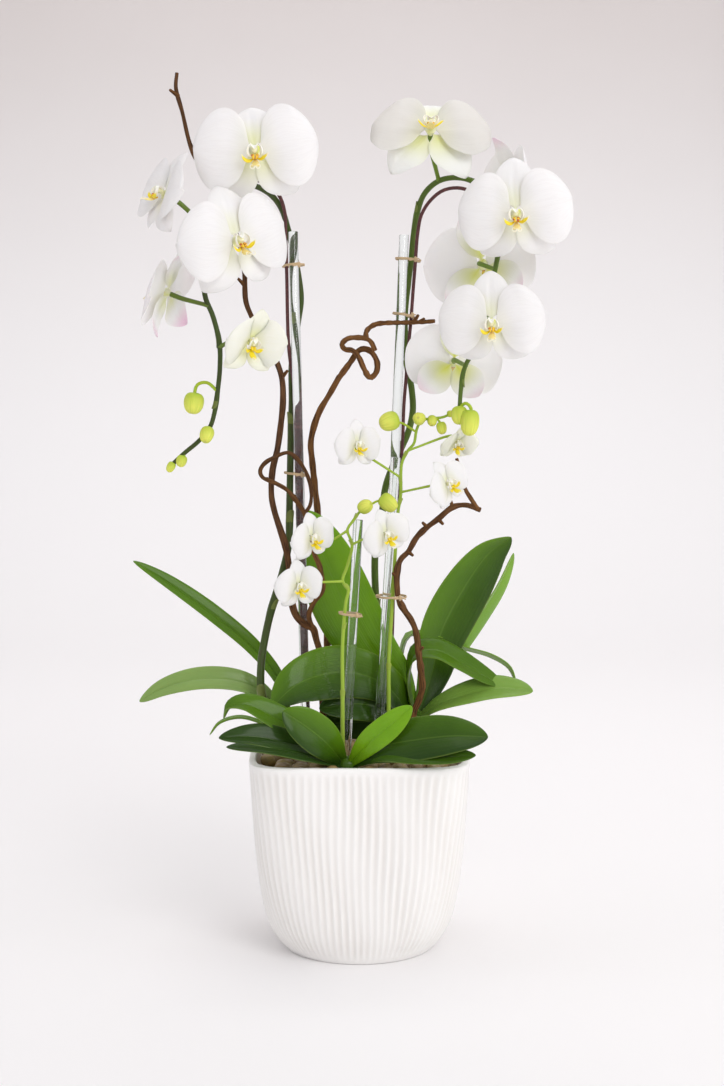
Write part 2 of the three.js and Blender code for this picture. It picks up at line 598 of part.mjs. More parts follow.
function makePetals(bloom, seed) {
  const width = bloomWidth(bloom);
  const open = bloom.open ?? 1;
  const small = width < LARGE_BLOOM / 2;
  const [petalRows, sepalRows] = small ? [2, 2] : [4, 2];
  const topSepal = { ...TOP_SEPAL, length: TOP_SEPAL.length * (bloom.topSepal ?? 1) };
  const hub = mouldedCylinder(HUB_SIDES, 1, (row, angle, reach) => new THREE.Vector3(
    Math.cos(angle) * reach * HUB_RADIUS * width,
    Math.sin(angle) * reach * HUB_RADIUS * width,
    (row - 1) * HUB_DEPTH * width,
  ));
  const petals = joined([
    hub,
    makePetal(topSepal, width, open, sepalRows, seed),
    makePetal(RIGHT_SEPAL, width, open, sepalRows, seed),
    makePetal(LEFT_SEPAL, width, open, sepalRows, seed),
    makePetal(PETAL, width, open, petalRows, seed),
    makePetal({ ...PETAL, angle: -PETAL.angle }, width, open, petalRows, seed),
  ]);
  return toGeometry(petals).applyMatrix4(bloomPlacement(bloom));
}

// Column and lip, as shares of the bloom's width in the bloom's own axes.
const COLUMN_RADII = [0.036, 0.03];
const COLUMN_ROUTE = [[0, 0, 0.006], [0, -0.015, 0.11]];
const LIP_ROUTE = [[0, -0.01, 0.035], [0, -0.07, 0.09], [0, -0.12, 0.15], [0, -0.17, 0.2], [0, -0.2, 0.2]];
const LIP_HALF_WIDTHS = [0.021, 0.06];
const LIP_WING_ROUTE = [
  [-0.12, -0.03, 0.11], [-0.07, -0.08, 0.09], [0, -0.065, 0.07], [0.07, -0.08, 0.09], [0.12, -0.03, 0.11],
];
const WING_HALF_WIDTHS = [0.019, 0.038];
const YOUNG_LIP = 0.6;
const YOUNG_OPEN = 0.5;

function isYoung(bloom) {
  return bloom.open < YOUNG_OPEN;
}

function ribbon(points, halfWidthAt, acrossHint, rows, columns) {
  const curve = routeCurve(points);
  const surface = (s, t) => {
    const tangent = curve.getTangentAt(s);
    const across = new THREE.Vector3(...acrossHint);
    across.addScaledVector(tangent, -across.dot(tangent)).normalize();
    return curve.getPointAt(s).addScaledVector(across, halfWidthAt(s) * t);
  };
  return blade(surface, rows, columns, PETAL_THICKNESS);
}

function makeLip(bloom) {
  const width = bloomWidth(bloom) * (isYoung(bloom) ? YOUNG_LIP : 1);
  const scaled = (points) => points.map(([x, y, z]) => [x * width, y * width, z * width + SEAT_GAP]);
  const lipBulge = (s) => Math.sin(Math.PI * s ** 1.4) ** 2;
  const wingBulge = (s) => Math.abs(Math.sin(2 * Math.PI * s));
  const lipWidth = (s) => width * THREE.MathUtils.lerp(...LIP_HALF_WIDTHS, lipBulge(s));
  const wingWidth = (s) => width * THREE.MathUtils.lerp(...WING_HALF_WIDTHS, wingBulge(s));
  const parts = [
    stem(scaled(COLUMN_ROUTE), COLUMN_RADII[0] * width, COLUMN_RADII[1] * width, STRAIGHT, 4),
    ribbon(scaled(LIP_ROUTE), lipWidth, [1, 0, 0], 3, 1),
  ];
  if (width > LARGE_BLOOM / 2) {
    parts.push(ribbon(scaled(LIP_WING_ROUTE), wingWidth, [0, 1, 1], 4, 1));
  }
  return toGeometry(joined(parts)).applyMatrix4(bloomPlacement(bloom));
}

// The point on a spike's middle line that is nearest to a wanted point.
function onSpike(key, wanted) {
  const centres = evenPoints(routeCurve(SPIKE_ROUTES[key]), SPIKE_STEP);
  const target = new THREE.Vector3(...wanted);
  const candidates = centres.slice(1).map((centre, n) => (
    new THREE.Line3(centres[n], centre).closestPointToPoint(target, true, new THREE.Vector3())));
  candidates.sort((a, b) => a.distanceTo(target) - b.distanceTo(target));
  return candidates[0].toArray();
}

// A bloom's own stalk: its radius, and how far it runs straight behind the hub.
const LARGE_PEDICEL = [1.8, 9];
const SMALL_PEDICEL = [1, 7];
const PEDICEL_FLARE = 1.15;

// It leaves the spike and meets the back of the hub square on.
function makePedicel(bloom) {
  const width = bloomWidth(bloom);
  const placement = bloomPlacement(bloom);
  const behind = (distance) => new THREE.Vector3(0, 0, -HUB_DEPTH * width - distance)
    .applyMatrix4(placement).toArray();
  const [radius, straight] = width < LARGE_BLOOM / 2 ? SMALL_PEDICEL : LARGE_PEDICEL;
  const from = onSpike(bloom.spike, bloom.from);
  const route = [from, ...(bloom.via ? [bloom.via] : []), behind(straight), behind(SEAT_GAP)];
  return stem(route, radius, radius * PEDICEL_FLARE, PEDICEL_STEP, 4);
}

// Buds: the spike that bears them, the bud's middle, its radius, its length over its width, and
// the route of its stalk from the spike.
const BUDS = {
  left: [
    {
      at: [-137, -37, 467], radius: 8.5, stretch: 1.05,
      stalk: [[-117, -36, 477], [-126, -36, 484], [-134, -36, 482]],
    },
    { at: [-126, -41, 441], radius: 6, stretch: 1.2, stalk: [[-124, -34, 447]] },
    { at: [-148, -32, 419], radius: 4.6, stretch: 1.1, stalk: [[-145, -32, 426]] },
    { at: [-157, -31, 414], radius: 3.6, stretch: 1.3, stalk: [[-153, -31, 418]] },
  ],
  right: [
    { at: [83, -35, 457], radius: 7, stretch: 1.1, stalk: [[83, -34, 464]] },
    {
      at: [91, -41, 451], radius: 8, stretch: 1.35,
      stalk: [[83, -34, 464], [88, -38, 467], [92, -41, 463]],
    },
  ],
  smallRight: [
    {
      at: [25, -16, 451.5], radius: 8.2, stretch: 1.05,
      stalk: [[45, -12, 443], [36, -14, 450], [31, -15, 451]],
    },
    { at: [50, -19, 454], radius: 5.6, stretch: 1.05, stalk: [[51, -14, 451]] },
    { at: [61, -16, 452], radius: 4.2, stretch: 1.1, stalk: [[61, -14, 454]] },
    { at: [69, -17, 446], radius: 4.4, stretch: 1.2, stalk: [[65, -14, 454], [68, -16, 450]] },
    { at: [77, -14, 458], radius: 3, stretch: 1.2, stalk: [[75, -14, 457]] },
  ],
  smallFront: [
    { at: [5, -43, 382], radius: 6, stretch: 1.05, stalk: [[3, -42, 379]] },
    {
      at: [24, -44, 385], radius: 7, stretch: 1.2,
      stalk: [[5, -42, 381], [14, -43, 386], [20, -44, 387]],
    },
  ],
};

const SMALL_BUD = 5;

function makeBud({ at, radius, stretch, stalk }, key) {
  const stalkRadius = STALK_RADII[key];
  const [foot, ...bends] = stalk;
  const bud = new THREE.SphereGeometry(radius, 5, radius > SMALL_BUD ? 4 : 3);
  bud.rotateX(Math.PI / 2).scale(1, 1, stretch).translate(...at);
  return [stem([onSpike(key, foot), ...bends, at], stalkRadius, stalkRadius, BUD_STALK_STEP, 4), bud];
}

const SPIKE_RADII = { left: [3.6, 1.8], right: [3.6, 1.8], smallRight: [2.1, 1.2], smallFront: [2.1, 1.2] };
const STALK_RADII = { left: 1.5, right: 1.5, smallRight: 1.1, smallFront: 1.1 };

function makeSpike(key) {
  const [startRadius, endRadius] = SPIKE_RADII[key];
  return toGeometry(joined([
    stem(SPIKE_ROUTES[key], startRadius, endRadius, SPIKE_STEP, 4),
    ...BLOOMS.filter(({ spike }) => spike === key).map(makePedicel),
    ...BUDS[key].flatMap((bud) => makeBud(bud, key)),
  ]));
}

// Raffia ties: the middle, half the inner width and depth, and the rise from side to side.
const TIES = [
  { at: [-56, 13.2, 583], reach: [8.4, 11.9], rise: 1 },
  { at: [-54.5, 12.4, 406], reach: [9.3, 10.4], rise: -1 },
  { at: [41.4, 18.4, 588], reach: [10, 10.1], rise: -1 },
  { at: [39, 20, 541], reach: [9.9, 9.8], rise: -2 },
  { at: [27, -10, 303], reach: [12.2, 13.3], rise: 0 },
  { at: [-7.5, -34, 291], reach: [8.85, 9.1], rise: -1 },
];

function makeTie({ at: [x, y, z], reach: [halfX, halfY], rise }) {
  const ring = new THREE.TorusGeometry(2, 1, 3, 9);
  const position = ring.attributes.position;
  for (let i = 0; i < position.count; i += 1) {
    const angle = Math.atan2(position.getY(i), position.getX(i));
    const outward = (Math.hypot(position.getX(i), position.getY(i)) - 2) * TIE_RADIUS;
    position.setXYZ(
      i,
      x + (halfX + TIE_RADIUS + outward) * Math.cos(angle),
      y + (halfY + TIE_RADIUS + outward) * Math.sin(angle),
      z + position.getZ(i) * TIE_RADIUS + rise * Math.cos(angle),
    );
  }
  return ring;
}

// Plain holes for everything that stands in the filling.
const STAKE_PLAY = 1.1;
const STEM_PLAY = 1.4;
const WIRE_PLAY = 0.7;
const CROWN_PLAY = 1.8;
const TWIG_HOLE = 5;
const HOLE_SIDES = 6;

function hole([[x, y, z], end], radius) {
  return stem([[x, y, z - CLEARANCE], end], radius, radius, STRAIGHT, HOLE_SIDES);
}

function standingHoles() {
  const crownRoute = ({ crown: [x, y] }) => [[x, y, ROOT_FOOT], [x, y, POT_HEIGHT]];
  return [
    ...Object.values(STAKE_ROUTES).map((route) => hole(route, STAKE_RADIUS + STAKE_PLAY)),
    ...Object.values(WIRE_ROUTES).map((route) => hole(route, WIRE_RADIUS + WIRE_PLAY)),
    ...['tall', 'curly', 'right'].map((key) => hole(TWIG_ROUTES[key], TWIG_HOLE)),
    ...Object.entries(SPIKE_ROUTES).map(([key, route]) => hole(route, SPIKE_RADII[key][0] + STEM_PLAY)),
    ...Object.values(LEAVES).map((plant) => hole(crownRoute(plant), CROWN_RADIUS + CROWN_PLAY)),
  ];
}

function makeMedium(holes) {
  const heights = [POT_FLOOR + SEAT_GAP, ...INNER_HEIGHTS, MEDIUM_TOP];
  const body = toSolid(potShape(heights, INNER_COLUMNS, POT_WALL + SEAT_GAP));
  return toGeometry(without(body, holes));
}

// One flat-topped stone at its place in the rows.
function makePebble(seed, spacing) {
  const middle = (PEBBLES_PER_ROW - 1) / 2;
  const column = seed % PEBBLES_PER_ROW;
  const row = Math.floor(seed / PEBBLES_PER_ROW);
  const size = PEBBLE_SIZE.map((length, axis) => length * (1 + PEBBLE_VARIETY * vary(seed, axis)));
  const stone = new THREE.CylinderGeometry(PEBBLE_CROWN, 1, 1, PEBBLE_SIDES);
  return stone.rotateX(Math.PI / 2).scale(...size).rotateZ(Math.PI * vary(seed, 6)).translate(
    (column - middle) * spacing + vary(seed, 4),
    (row - middle) * spacing + vary(seed, 5),
    PEBBLE_MIDDLE + vary(seed, 7),
  );
}

function makePebbles(holes) {
  const bed = potShape([MEDIUM_TOP + SEAT_GAP, PEBBLE_BED_TOP], INNER_COLUMNS, POT_WALL + 0.5);
  const spacing = (2 * PEBBLE_SPREAD * (potHalfWidth(MEDIUM_TOP) - POT_WALL)) / PEBBLES_PER_ROW;
  const stones = Array.from({ length: PEBBLES_PER_ROW ** 2 }, (_, seed) => makePebble(seed, spacing));
  return toGeometry(largestBody(without(joined([bed, ...stones]), holes)));
}

// Everything, from the pot up.
addPiece('pot', makePot(), 'glaze');
const holes = standingHoles();
addPiece('growing_medium', makeMedium(holes), 'bark');
addPiece('pebbles', makePebbles(holes), 'stone');
Object.entries(STAKE_ROUTES).forEach(([name, route]) => {
  addPiece(name, stem(route, STAKE_RADIUS, STAKE_RADIUS, STRAIGHT, 12), 'rod');
});
TIES.forEach((tie, n) => addPiece(`raffia_tie_${n + 1}`, makeTie(tie), 'raffia'));
Object.entries(WIRE_ROUTES).forEach(([name, route]) => {
  addPiece(name, stem(route, WIRE_RADIUS, WIRE_RADIUS, WIRE_STEP, 4), 'wire');
});
const twigs = {
  twig_tall: [
    stem(TWIG_ROUTES.tall, 3.6, 1.8, TWIG_STEP, 4),
    stem(TWIG_ROUTES.loop, 2.3, 1.8, TWIG_END_STEP, 4),
  ],
  twig_curly: [
    stem(TWIG_ROUTES.curly, 3.2, 2.7, TWIG_STEP, 4),
    stem(TWIG_ROUTES.curl, 2.7, 2.3, CURL_STEP, 4),
    stem(TWIG_ROUTES.curlyEnd, 2.3, 2, TWIG_END_STEP, 4),
  ],
  twig_right: [
    stem(TWIG_ROUTES.right, 3.4, 2.4, 16, 4),
    stem(TWIG_ROUTES.rightEnd, 2.3, 1.8, TWIG_END_STEP, 4),
  ],
};
Object.entries(twigs).forEach(([name, parts]) => addPiece(name, toGeometry(joined(parts)), 'twig'));
addPiece('spike_left', makeSpike('left'), 'darkStem');
addPiece('spike_right', makeSpike('right'), 'stem');
addPiece('spike_small_right', makeSpike('smallRight'), 'paleStem');
addPiece('spike_small_front', makeSpike('smallFront'), 'paleStem');
Object.entries(LEAVES).forEach(([name, { crown, leaves }]) => {
  addPiece(name, toGeometry(joined([makeCrown(crown), ...leaves.map(makeLeaf)])), 'leaf');
});
BLOOMS.forEach((bloom, seed) => {
  const colour = isYoung(bloom) ? 'creamPetal' : 'petal';
  addPiece(`${bloom.name}_petals`, makePetals(bloom, seed), colour);
  addPiece(`${bloom.name}_lip`, makeLip(bloom), 'lip');
});

export default orchid;
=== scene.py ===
# %% [markdown]
# # Moth orchids in a square white pot
# This lesson dresses a finished CAD model of a potted orchid. Three plants share one ribbed white
# pot. They carry two tall flower spikes with large white blooms, two short spikes with small
# ones, and three dry twigs, and clear rods hold the spikes up.
# The CAD model gives every place. Each plain solid is then replaced by a finer piece here.

import math

import bmesh
import bpy
import numpy as np
from mathutils import Matrix, Vector


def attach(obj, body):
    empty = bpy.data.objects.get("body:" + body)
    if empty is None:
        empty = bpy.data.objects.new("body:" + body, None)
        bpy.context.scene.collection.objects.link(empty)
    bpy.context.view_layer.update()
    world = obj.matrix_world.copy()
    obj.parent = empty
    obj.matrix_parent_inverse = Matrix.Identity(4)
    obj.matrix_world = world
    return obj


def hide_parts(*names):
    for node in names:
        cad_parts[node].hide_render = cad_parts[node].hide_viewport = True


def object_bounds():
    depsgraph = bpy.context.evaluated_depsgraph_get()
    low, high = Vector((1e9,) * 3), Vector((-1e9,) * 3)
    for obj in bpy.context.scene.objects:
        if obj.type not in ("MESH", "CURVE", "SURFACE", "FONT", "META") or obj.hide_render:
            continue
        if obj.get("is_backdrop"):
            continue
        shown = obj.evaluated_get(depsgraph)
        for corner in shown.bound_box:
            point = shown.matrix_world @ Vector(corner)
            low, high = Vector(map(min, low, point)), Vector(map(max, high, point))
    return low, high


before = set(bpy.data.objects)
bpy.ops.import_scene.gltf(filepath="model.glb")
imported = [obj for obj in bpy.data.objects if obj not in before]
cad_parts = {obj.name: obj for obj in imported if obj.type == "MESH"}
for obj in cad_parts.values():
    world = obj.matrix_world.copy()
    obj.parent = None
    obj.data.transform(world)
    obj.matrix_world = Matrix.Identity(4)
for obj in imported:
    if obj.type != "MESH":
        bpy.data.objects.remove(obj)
cad_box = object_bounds()
MM = 0.001
print("solids in the frame:", len(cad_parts))

# %% [markdown]
# ## Camera
# The plant was seen from the front, a little above its middle, from one and a half metres away.
# A lens of about 59 mm on a 36 mm sensor takes in the same field, and a small downward pitch
# puts the pot and the top twig where they belong. Nothing is shifted and nothing is blurred.

# %% Camera
CAMERA_PLACE = Vector((2.2, -1520, 486)) * MM
CAMERA_PITCH = math.radians(5.2)
CAMERA_LENS = 59.3

camera = bpy.data.objects.new("front_camera", bpy.data.cameras.new("front_camera"))
camera.data.lens = CAMERA_LENS
camera.data.clip_end = 50
camera.location = CAMERA_PLACE
camera.rotation_euler = (math.radians(90) - CAMERA_PITCH, 0, 0)
bpy.context.scene.collection.objects.link(camera)
bpy.context.scene.camera = camera
print("camera stands at", tuple(round(c, 3) for c in camera.location))

# %% [markdown]
# ## Shader arithmetic
# A pattern is a sum of simple signals, so it reads best as a sum. One small class wraps an output
# socket and adds a Math node for every operator. A second class holds a material: it adds any
# node from its type, its settings and its socket values, and feeds the surface shader.

# %% Signals and finishes
class Signal:
    """One output socket, with arithmetic that adds Math nodes."""

    def __init__(self, finish, socket):
        self.finish = finish
        self.socket = socket

    def _math(self, operation, first, second):
        return self.finish.node("Math", {"operation": operation}, {0: first, 1: second})

    def __add__(self, other):
        return self._math("ADD", self, other)

    def __radd__(self, other):
        return self._math("ADD", other, self)

    def __sub__(self, other):
        return self._math("SUBTRACT", self, other)

    def __rsub__(self, other):
        return self._math("SUBTRACT", other, self)

    def __mul__(self, other):
        return self._math("MULTIPLY", self, other)

    def __rmul__(self, other):
        return self._math("MULTIPLY", other, self)

    def __pow__(self, other):
        return self._math("POWER", self, other)

    def __abs__(self):
        return self._math("ABSOLUTE", self, 0.0)


class Finish:
    """A material: one Principled shader and the nodes that feed it."""

    def __init__(self, name, colour, **constants):
        self.material = bpy.data.materials.new(name)
        self.material.use_nodes = True
        self.tree = self.material.node_tree
        self.shader = self.tree.nodes["Principled BSDF"]
        self.shader.inputs["Base Color"].default_value = (*colour, 1)
        for socket, value in constants.items():
            self.shader.inputs[socket.replace("_", " ")].default_value = value

    def node(self, kind, settings, sockets, output=0):
        """Adds a node. Sockets take numbers, colours or signals."""
        made = self.tree.nodes.new("ShaderNode" + kind)
        for key, value in settings.items():
            setattr(made, key, value)
        for key, value in sockets.items():
            if isinstance(value, Signal):
                self.tree.links.new(value.socket, made.inputs[key])
            else:
                made.inputs[key].default_value = value
        return Signal(self, made.outputs[output])

    def parts(self, vector):
        """The three parts of a vector, each as a signal."""
        return [self.node("SeparateXYZ", {}, {0: vector}, axis) for axis in "XYZ"]

    def attribute(self, name):
        """The three parts of a vector that is kept on every point of the piece."""
        return self.parts(self.node("Attribute", {"attribute_name": name}, {}, "Vector"))

    def place(self):
        """Where a point is on the piece."""
        return self.node("TexCoord", {}, {}, "Object")

    def vector(self, x, y, z):
        """Three signals or numbers as one vector."""
        return self.node("CombineXYZ", {}, {0: x, 1: y, 2: z})

    def stretched(self, vector, scale):
        """A small scale along an axis draws a pattern out along it."""
        settings = {"vector_type": "POINT"}
        return self.node("Mapping", settings, {"Vector": vector, "Scale": scale})

    def noise(self, vector, scale, detail=3.0):
        """Soft clouds round 0.5, about scale of them to a metre."""
        sockets = {"Vector": vector, "Scale": scale, "Detail": detail}
        return self.node("TexNoise", {}, sockets)

    def between(self, signal, low, high):
        """0 below low, 1 above high, smooth between them."""
        settings = {"interpolation_type": "SMOOTHSTEP"}
        return self.node("MapRange", settings, {0: signal, 1: low, 2: high})

    def mix(self, factor, first, second):
        """Blends two colours. Each is a triple or a signal."""
        whole = [c if isinstance(c, Signal) else (*c, 1) for c in (first, second)]
        sockets = {0: factor, 6: whole[0], 7: whole[1]}
        return self.node("Mix", {"data_type": "RGBA"}, sockets, 2)

    def feed(self, socket, signal):
        """Links a signal to a socket of the surface shader."""
        self.tree.links.new(signal.socket, self.shader.inputs[socket])

    def relief(self, height, strength, depth):
        """Height becomes bumps of about that depth, in metres."""
        sockets = {"Height": height, "Strength": strength, "Distance": depth}
        self.feed("Normal", self.node("Bump", {}, sockets))


print("shader arithmetic is ready")

# %% [markdown]
# ## Floor and light
# White blooms need a backdrop that is a little darker than they are, and soft light from several
# sides. The floor is one sheet that curves up behind the plant, so no horizon shows. A large
# lamp above and in front gives the form, weaker ones on both sides keep the shadows pale, and
# one behind lights the foot of the wall.

# %% Floor
FLOOR_HALF_WIDTH = 6.0
FLOOR_FRONT = -6.0
COVE_START = 1.6
COVE_RADIUS = 2.0
COVE_STEPS = 16
WALL_TOP = 7.0


def floor_profile():
    """The floor's line in metres, from the front to the top of the wall."""
    cove = [
        (COVE_START + COVE_RADIUS * math.sin(a), COVE_RADIUS * (1 - math.cos(a)))
        for a in np.linspace(0, math.pi / 2, COVE_STEPS + 1)[1:]
    ]
    wall = (COVE_START + COVE_RADIUS, WALL_TOP)
    return [(FLOOR_FRONT, 0.0), (COVE_START, 0.0), *cove, wall]


def make_floor():
    """The line is swept sideways into one sheet."""
    bm = bmesh.new()
    line = [bm.verts.new((-FLOOR_HALF_WIDTH, y, z)) for y, z in floor_profile()]
    edges = [bm.edges.new(pair) for pair in zip(line, line[1:])]
    swept = bmesh.ops.extrude_edge_only(bm, edges=edges)["geom"]
    moved = [v for v in swept if isinstance(v, bmesh.types.BMVert)]
    bmesh.ops.translate(bm, verts=moved, vec=(2 * FLOOR_HALF_WIDTH, 0, 0))
    mesh = bpy.data.meshes.new("floor")
    bm.to_mesh(mesh)
    bm.free()
    mesh.shade_smooth()
    return bpy.data.objects.new("floor", mesh)


# %% Floor paper
# Painted shade: the paper is painted darker and warmer up the wall, from 0.1 m to 1.9 m high.
PAPER_LOW, PAPER_HIGH = (0.94, 0.925, 0.925), (0.65, 0.59, 0.57)
PAPER_SHADE_FROM, PAPER_SHADE_TO = 0.1, 1.9

paper = Finish("floor_paper", (0.8, 0.78, 0.78), Roughness=0.6)
paper_grain = paper.noise(paper.place(), 3.0, 4.0)
_, _, paper_height = paper.parts(paper.place())
paper_painted_shade = paper.between(paper_height, PAPER_SHADE_FROM, PAPER_SHADE_TO)
paper_tone = paper.mix(paper_painted_shade, PAPER_LOW, PAPER_HIGH)
paper.feed("Base Color", paper.mix(paper_grain * 0.12, paper_tone, (0.98, 0.96, 0.96)))
floor = make_floor()
floor.data.materials.append(paper.material)
bpy.context.scene.collection.objects.link(floor)
floor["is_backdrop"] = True
print("floor faces:", len(floor.data.polygons))

# %% Light
LAMPS = {
    "front_lamp": {"place": (1.3, -2.6, 1.9), "size": 1.8, "power": 39},
    "top_lamp": {"place": (0.3, 0.3, 3.0), "size": 2.2, "power": 12},
    "right_lamp": {"place": (2.8, -1.2, 1.2), "size": 2.0, "power": 15},
    "left_lamp": {"place": (-2.8, -0.6, 1.0), "size": 2.0, "power": 9},
    "backdrop_lamp": {"place": (0, 1.2, 2.4), "size": 2.5, "power": 18, "aim": (0, 3.0, 0)},
}
PLANT_MIDDLE = (0, 0, 0.4)
ROOM_COLOUR, ROOM_STRENGTH = (0.98, 0.97, 1.0, 1), 0.58


def make_lamp(name, place, size, power, aim=PLANT_MIDDLE):
    """A round soft lamp. place and aim are in metres, power in watts."""
    lamp = bpy.data.lights.new(name, "AREA")
    lamp.shape = "DISK"
    lamp.size = size
    lamp.energy = power
    made = bpy.data.objects.new(name, lamp)
    made.location = place
    made.rotation_euler = (Vector(aim) - Vector(place)).to_track_quat("-Z", "Y").to_euler()
    bpy.context.scene.collection.objects.link(made)


for lamp_name, lamp_facts in LAMPS.items():
    make_lamp(lamp_name, **lamp_facts)

room = bpy.data.worlds.new("pale_room")
room.use_nodes = True
room_light = room.node_tree.nodes["Background"].inputs
room_light["Color"].default_value = ROOM_COLOUR
room_light["Strength"].default_value = ROOM_STRENGTH
bpy.context.scene.world = room
bpy.context.scene.view_settings.view_transform = "Standard"
print("lamps:", len(LAMPS))

# %% [markdown]
# ## Shells
# Nearly everything on a plant is a closed skin over a row of rings: stem, petal, leaf and bud.
# A grid of quads is made with one operator, each of its points is put on its place, and the
# operator that merges doubles closes the seam and the two ends. Every point also carries two
# vectors for the materials: where it is on its blade or stem, and how it is tinted.

# %% Shells and pieces
SEAM = 1e-6
SMOOTH_ANGLE = math.radians(50)


def add_shell(bm, rings, spots, tint):
    """Adds a closed skin. rings and spots are arrays of row, column and axis, in metres."""
    rows, around = rings.shape[0] - 1, rings.shape[1] - 1
    part = bmesh.new()
    spot = part.verts.layers.float_vector.new("spot")
    tints = part.verts.layers.float_vector.new("tint")
    bmesh.ops.create_grid(part, x_segments=around, y_segments=rows, size=0.5)
    for n, v in enumerate(part.verts):
        row, column = divmod(n, around + 1)
        v.co = rings[row, column]
        v[spot] = spots[row, column]
        v[tints] = tint
    bmesh.ops.remove_doubles(part, verts=part.verts, dist=SEAM)
    bmesh.ops.recalc_face_normals(part, faces=part.faces)
    scratch = bpy.data.meshes.new("scratch")
    part.to_mesh(scratch)
    part.free()
    bm.from_mesh(scratch)
    bpy.data.meshes.remove(scratch)


def new_skin():
    """An empty bmesh with the two vectors that every shell carries."""
    bm = bmesh.new()
    bm.verts.layers.float_vector.new("spot")
    bm.verts.layers.float_vector.new("tint")
    return bm


def finished(name, bm, finish, slot, *nodes):
    """Makes the piece, puts it on the plant and hides the solids that it stands for."""
    mesh = bpy.data.meshes.new(name)
    bm.to_mesh(mesh)
    bm.free()
    mesh.materials.append(finish.material)
    mesh.shade_smooth()
    mesh.set_sharp_from_angle(angle=SMOOTH_ANGLE)
    made = bpy.data.objects.new(name, mesh)
    bpy.context.scene.collection.objects.link(made)
    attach(made, "root")
    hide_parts(*nodes)
    print(name, "has", len(mesh.polygons), "faces")


def vary(number, key):
    """The same small differences each time, from -1 to 1."""
    wave = math.sin(number * 12.9898 + key * 78.233) * 43.5453
    return 2 * (wave - math.floor(wave)) - 1


def portion(number, key):
    """The same small differences, from 0 to 1."""
    return 0.5 + 0.5 * vary(number, key)


def unit(vectors):
    """Vectors of length one along the last axis."""
    length = np.linalg.norm(vectors, axis=-1, keepdims=True)
    return vectors / np.maximum(length, 1e-12)


# %% [markdown]
# ## Routes
# Stems bend softly through a few measured points. A centripetal spline passes through all of them
# without loops or overshoots, so one class turns such a list into even steps along the stem.

# %% Routes
class Route:
    """A smooth line through points in millimetres, read by its share of the whole length."""

    def __init__(self, points):
        p = np.array(points, float) * MM
        p = np.vstack([2 * p[0] - p[1], p, 2 * p[-1] - p[-2]])
        pieces = [self._stretch(*p[n:n + 4]) for n in range(len(p) - 3)]
        self.line = np.vstack(pieces + [p[-2:-1]])
        steps = np.linalg.norm(np.diff(self.line, axis=0), axis=1)
        self.length = steps.sum()
        self.shares = np.concatenate([[0], np.cumsum(steps)]) / self.length

    @staticmethod
    def _stretch(a, b, c, d, count=16):
        """The stretch from b to c, bent by its neighbours a and d."""
        knots = [0.0]
        for start, end in ((a, b), (b, c), (c, d)):
            knots.append(knots[-1] + max(np.linalg.norm(end - start), 1e-9) ** 0.5)
        t = np.linspace(knots[1], knots[2], count, endpoint=False)[:, None]

        def blend(p, q, low, high):
            return ((high - t) * p + (t - low) * q) / (high - low)

        ab, bc, cd = (blend(p, q, knots[k], knots[k + 1])
                      for k, (p, q) in enumerate(((a, b), (b, c), (c, d))))
        return blend(blend(ab, bc, knots[0], knots[2]), blend(bc, cd, knots[1], knots[3]),
                     knots[1], knots[2])

    def at(self, share):
        """The place there, in metres."""
        return np.stack([np.interp(share, self.shares, self.line[:, k]) for k in range(3)], -1)

    def along(self, share):
        """The direction there."""
        step = 2e-3
        return unit(self.at(np.minimum(share + step, 1)) - self.at(np.maximum(share - step, 0)))

    def nearest(self, point):
        """The share of the length at which the route passes closest to a point."""
        return self.shares[np.linalg.norm(self.line - np.array(point), axis=1).argmin()]


def side_directions(directions):
    """A sideways direction at each row, carried along so that the tube doesn't twist."""
    side = np.cross(directions[0], (0.31, 0.87, 0.38))
    sides = []
    for direction in directions:
        side = side - direction * side.dot(direction)
        side = side / np.linalg.norm(side)
        sides.append(side)
    return np.array(sides)


def add_tube(bm, route, radius, around=12, step=4.0, tint=(0, 0, 0), dome=0.4):
    """A round stem along a route. radius(share, angle) and step are in millimetres."""
    rows = max(2, round(route.length / (step * MM)))
    share = np.linspace(0, 1, rows + 1)
    centres, directions = route.at(share), route.along(share)
    sides = side_directions(directions)
    fronts = np.cross(directions, sides)
    angle = np.linspace(0, 2 * math.pi, around + 1)
    angle[-1] = 0
    out = np.cos(angle)[:, None] * sides[:, None] + np.sin(angle)[:, None] * fronts[:, None]
    reach = np.broadcast_to(radius(share[:, None], angle[None, :]) * MM, (rows + 1, around + 1))
    rings = centres[:, None] + reach[..., None] * out
    ends = []
    for row, way in ((0, -1), (-1, 1)):
        far = centres[row] + way * directions[row] * reach[row].mean() * dome
        near = far * 0.75 + centres[row] * 0.25
        ends.append((near + 0.7 * reach[row][:, None] * out[row], np.tile(far, (around + 1, 1))))
    rings = np.stack([ends[0][1], ends[0][0], *rings, ends[1][0], ends[1][1]])
    lengths = np.concatenate([[0, 0], share, [1, 1]]) * route.length
    spots = np.stack(np.broadcast_arrays(lengths[:, None], np.cos(angle), np.sin(angle)), -1)
    add_shell(bm, rings, spots, tint)


def steady(start, end=None):
    """A radius that runs evenly from start to end."""
    end = start if end is None else end
    return lambda share, angle: start + (end - start) * share


test_route = Route([(0, 0, 0), (0, 0, 10)])
print("a straight route of 10 mm measures", round(test_route.length / MM, 2), "mm")

# %% [markdown]
# ## The pot
# It is a slip-cast pot: round at the foot, nearly square at the rim, with close ribs that run up
# the wall and fade under a plain rim. Its outline at a height is a superellipse, so one formula
# turns the round foot into the square rim. Ribs are real relief, cut into the skin row by row,
# and they wander a little, as hand-finished ones do.

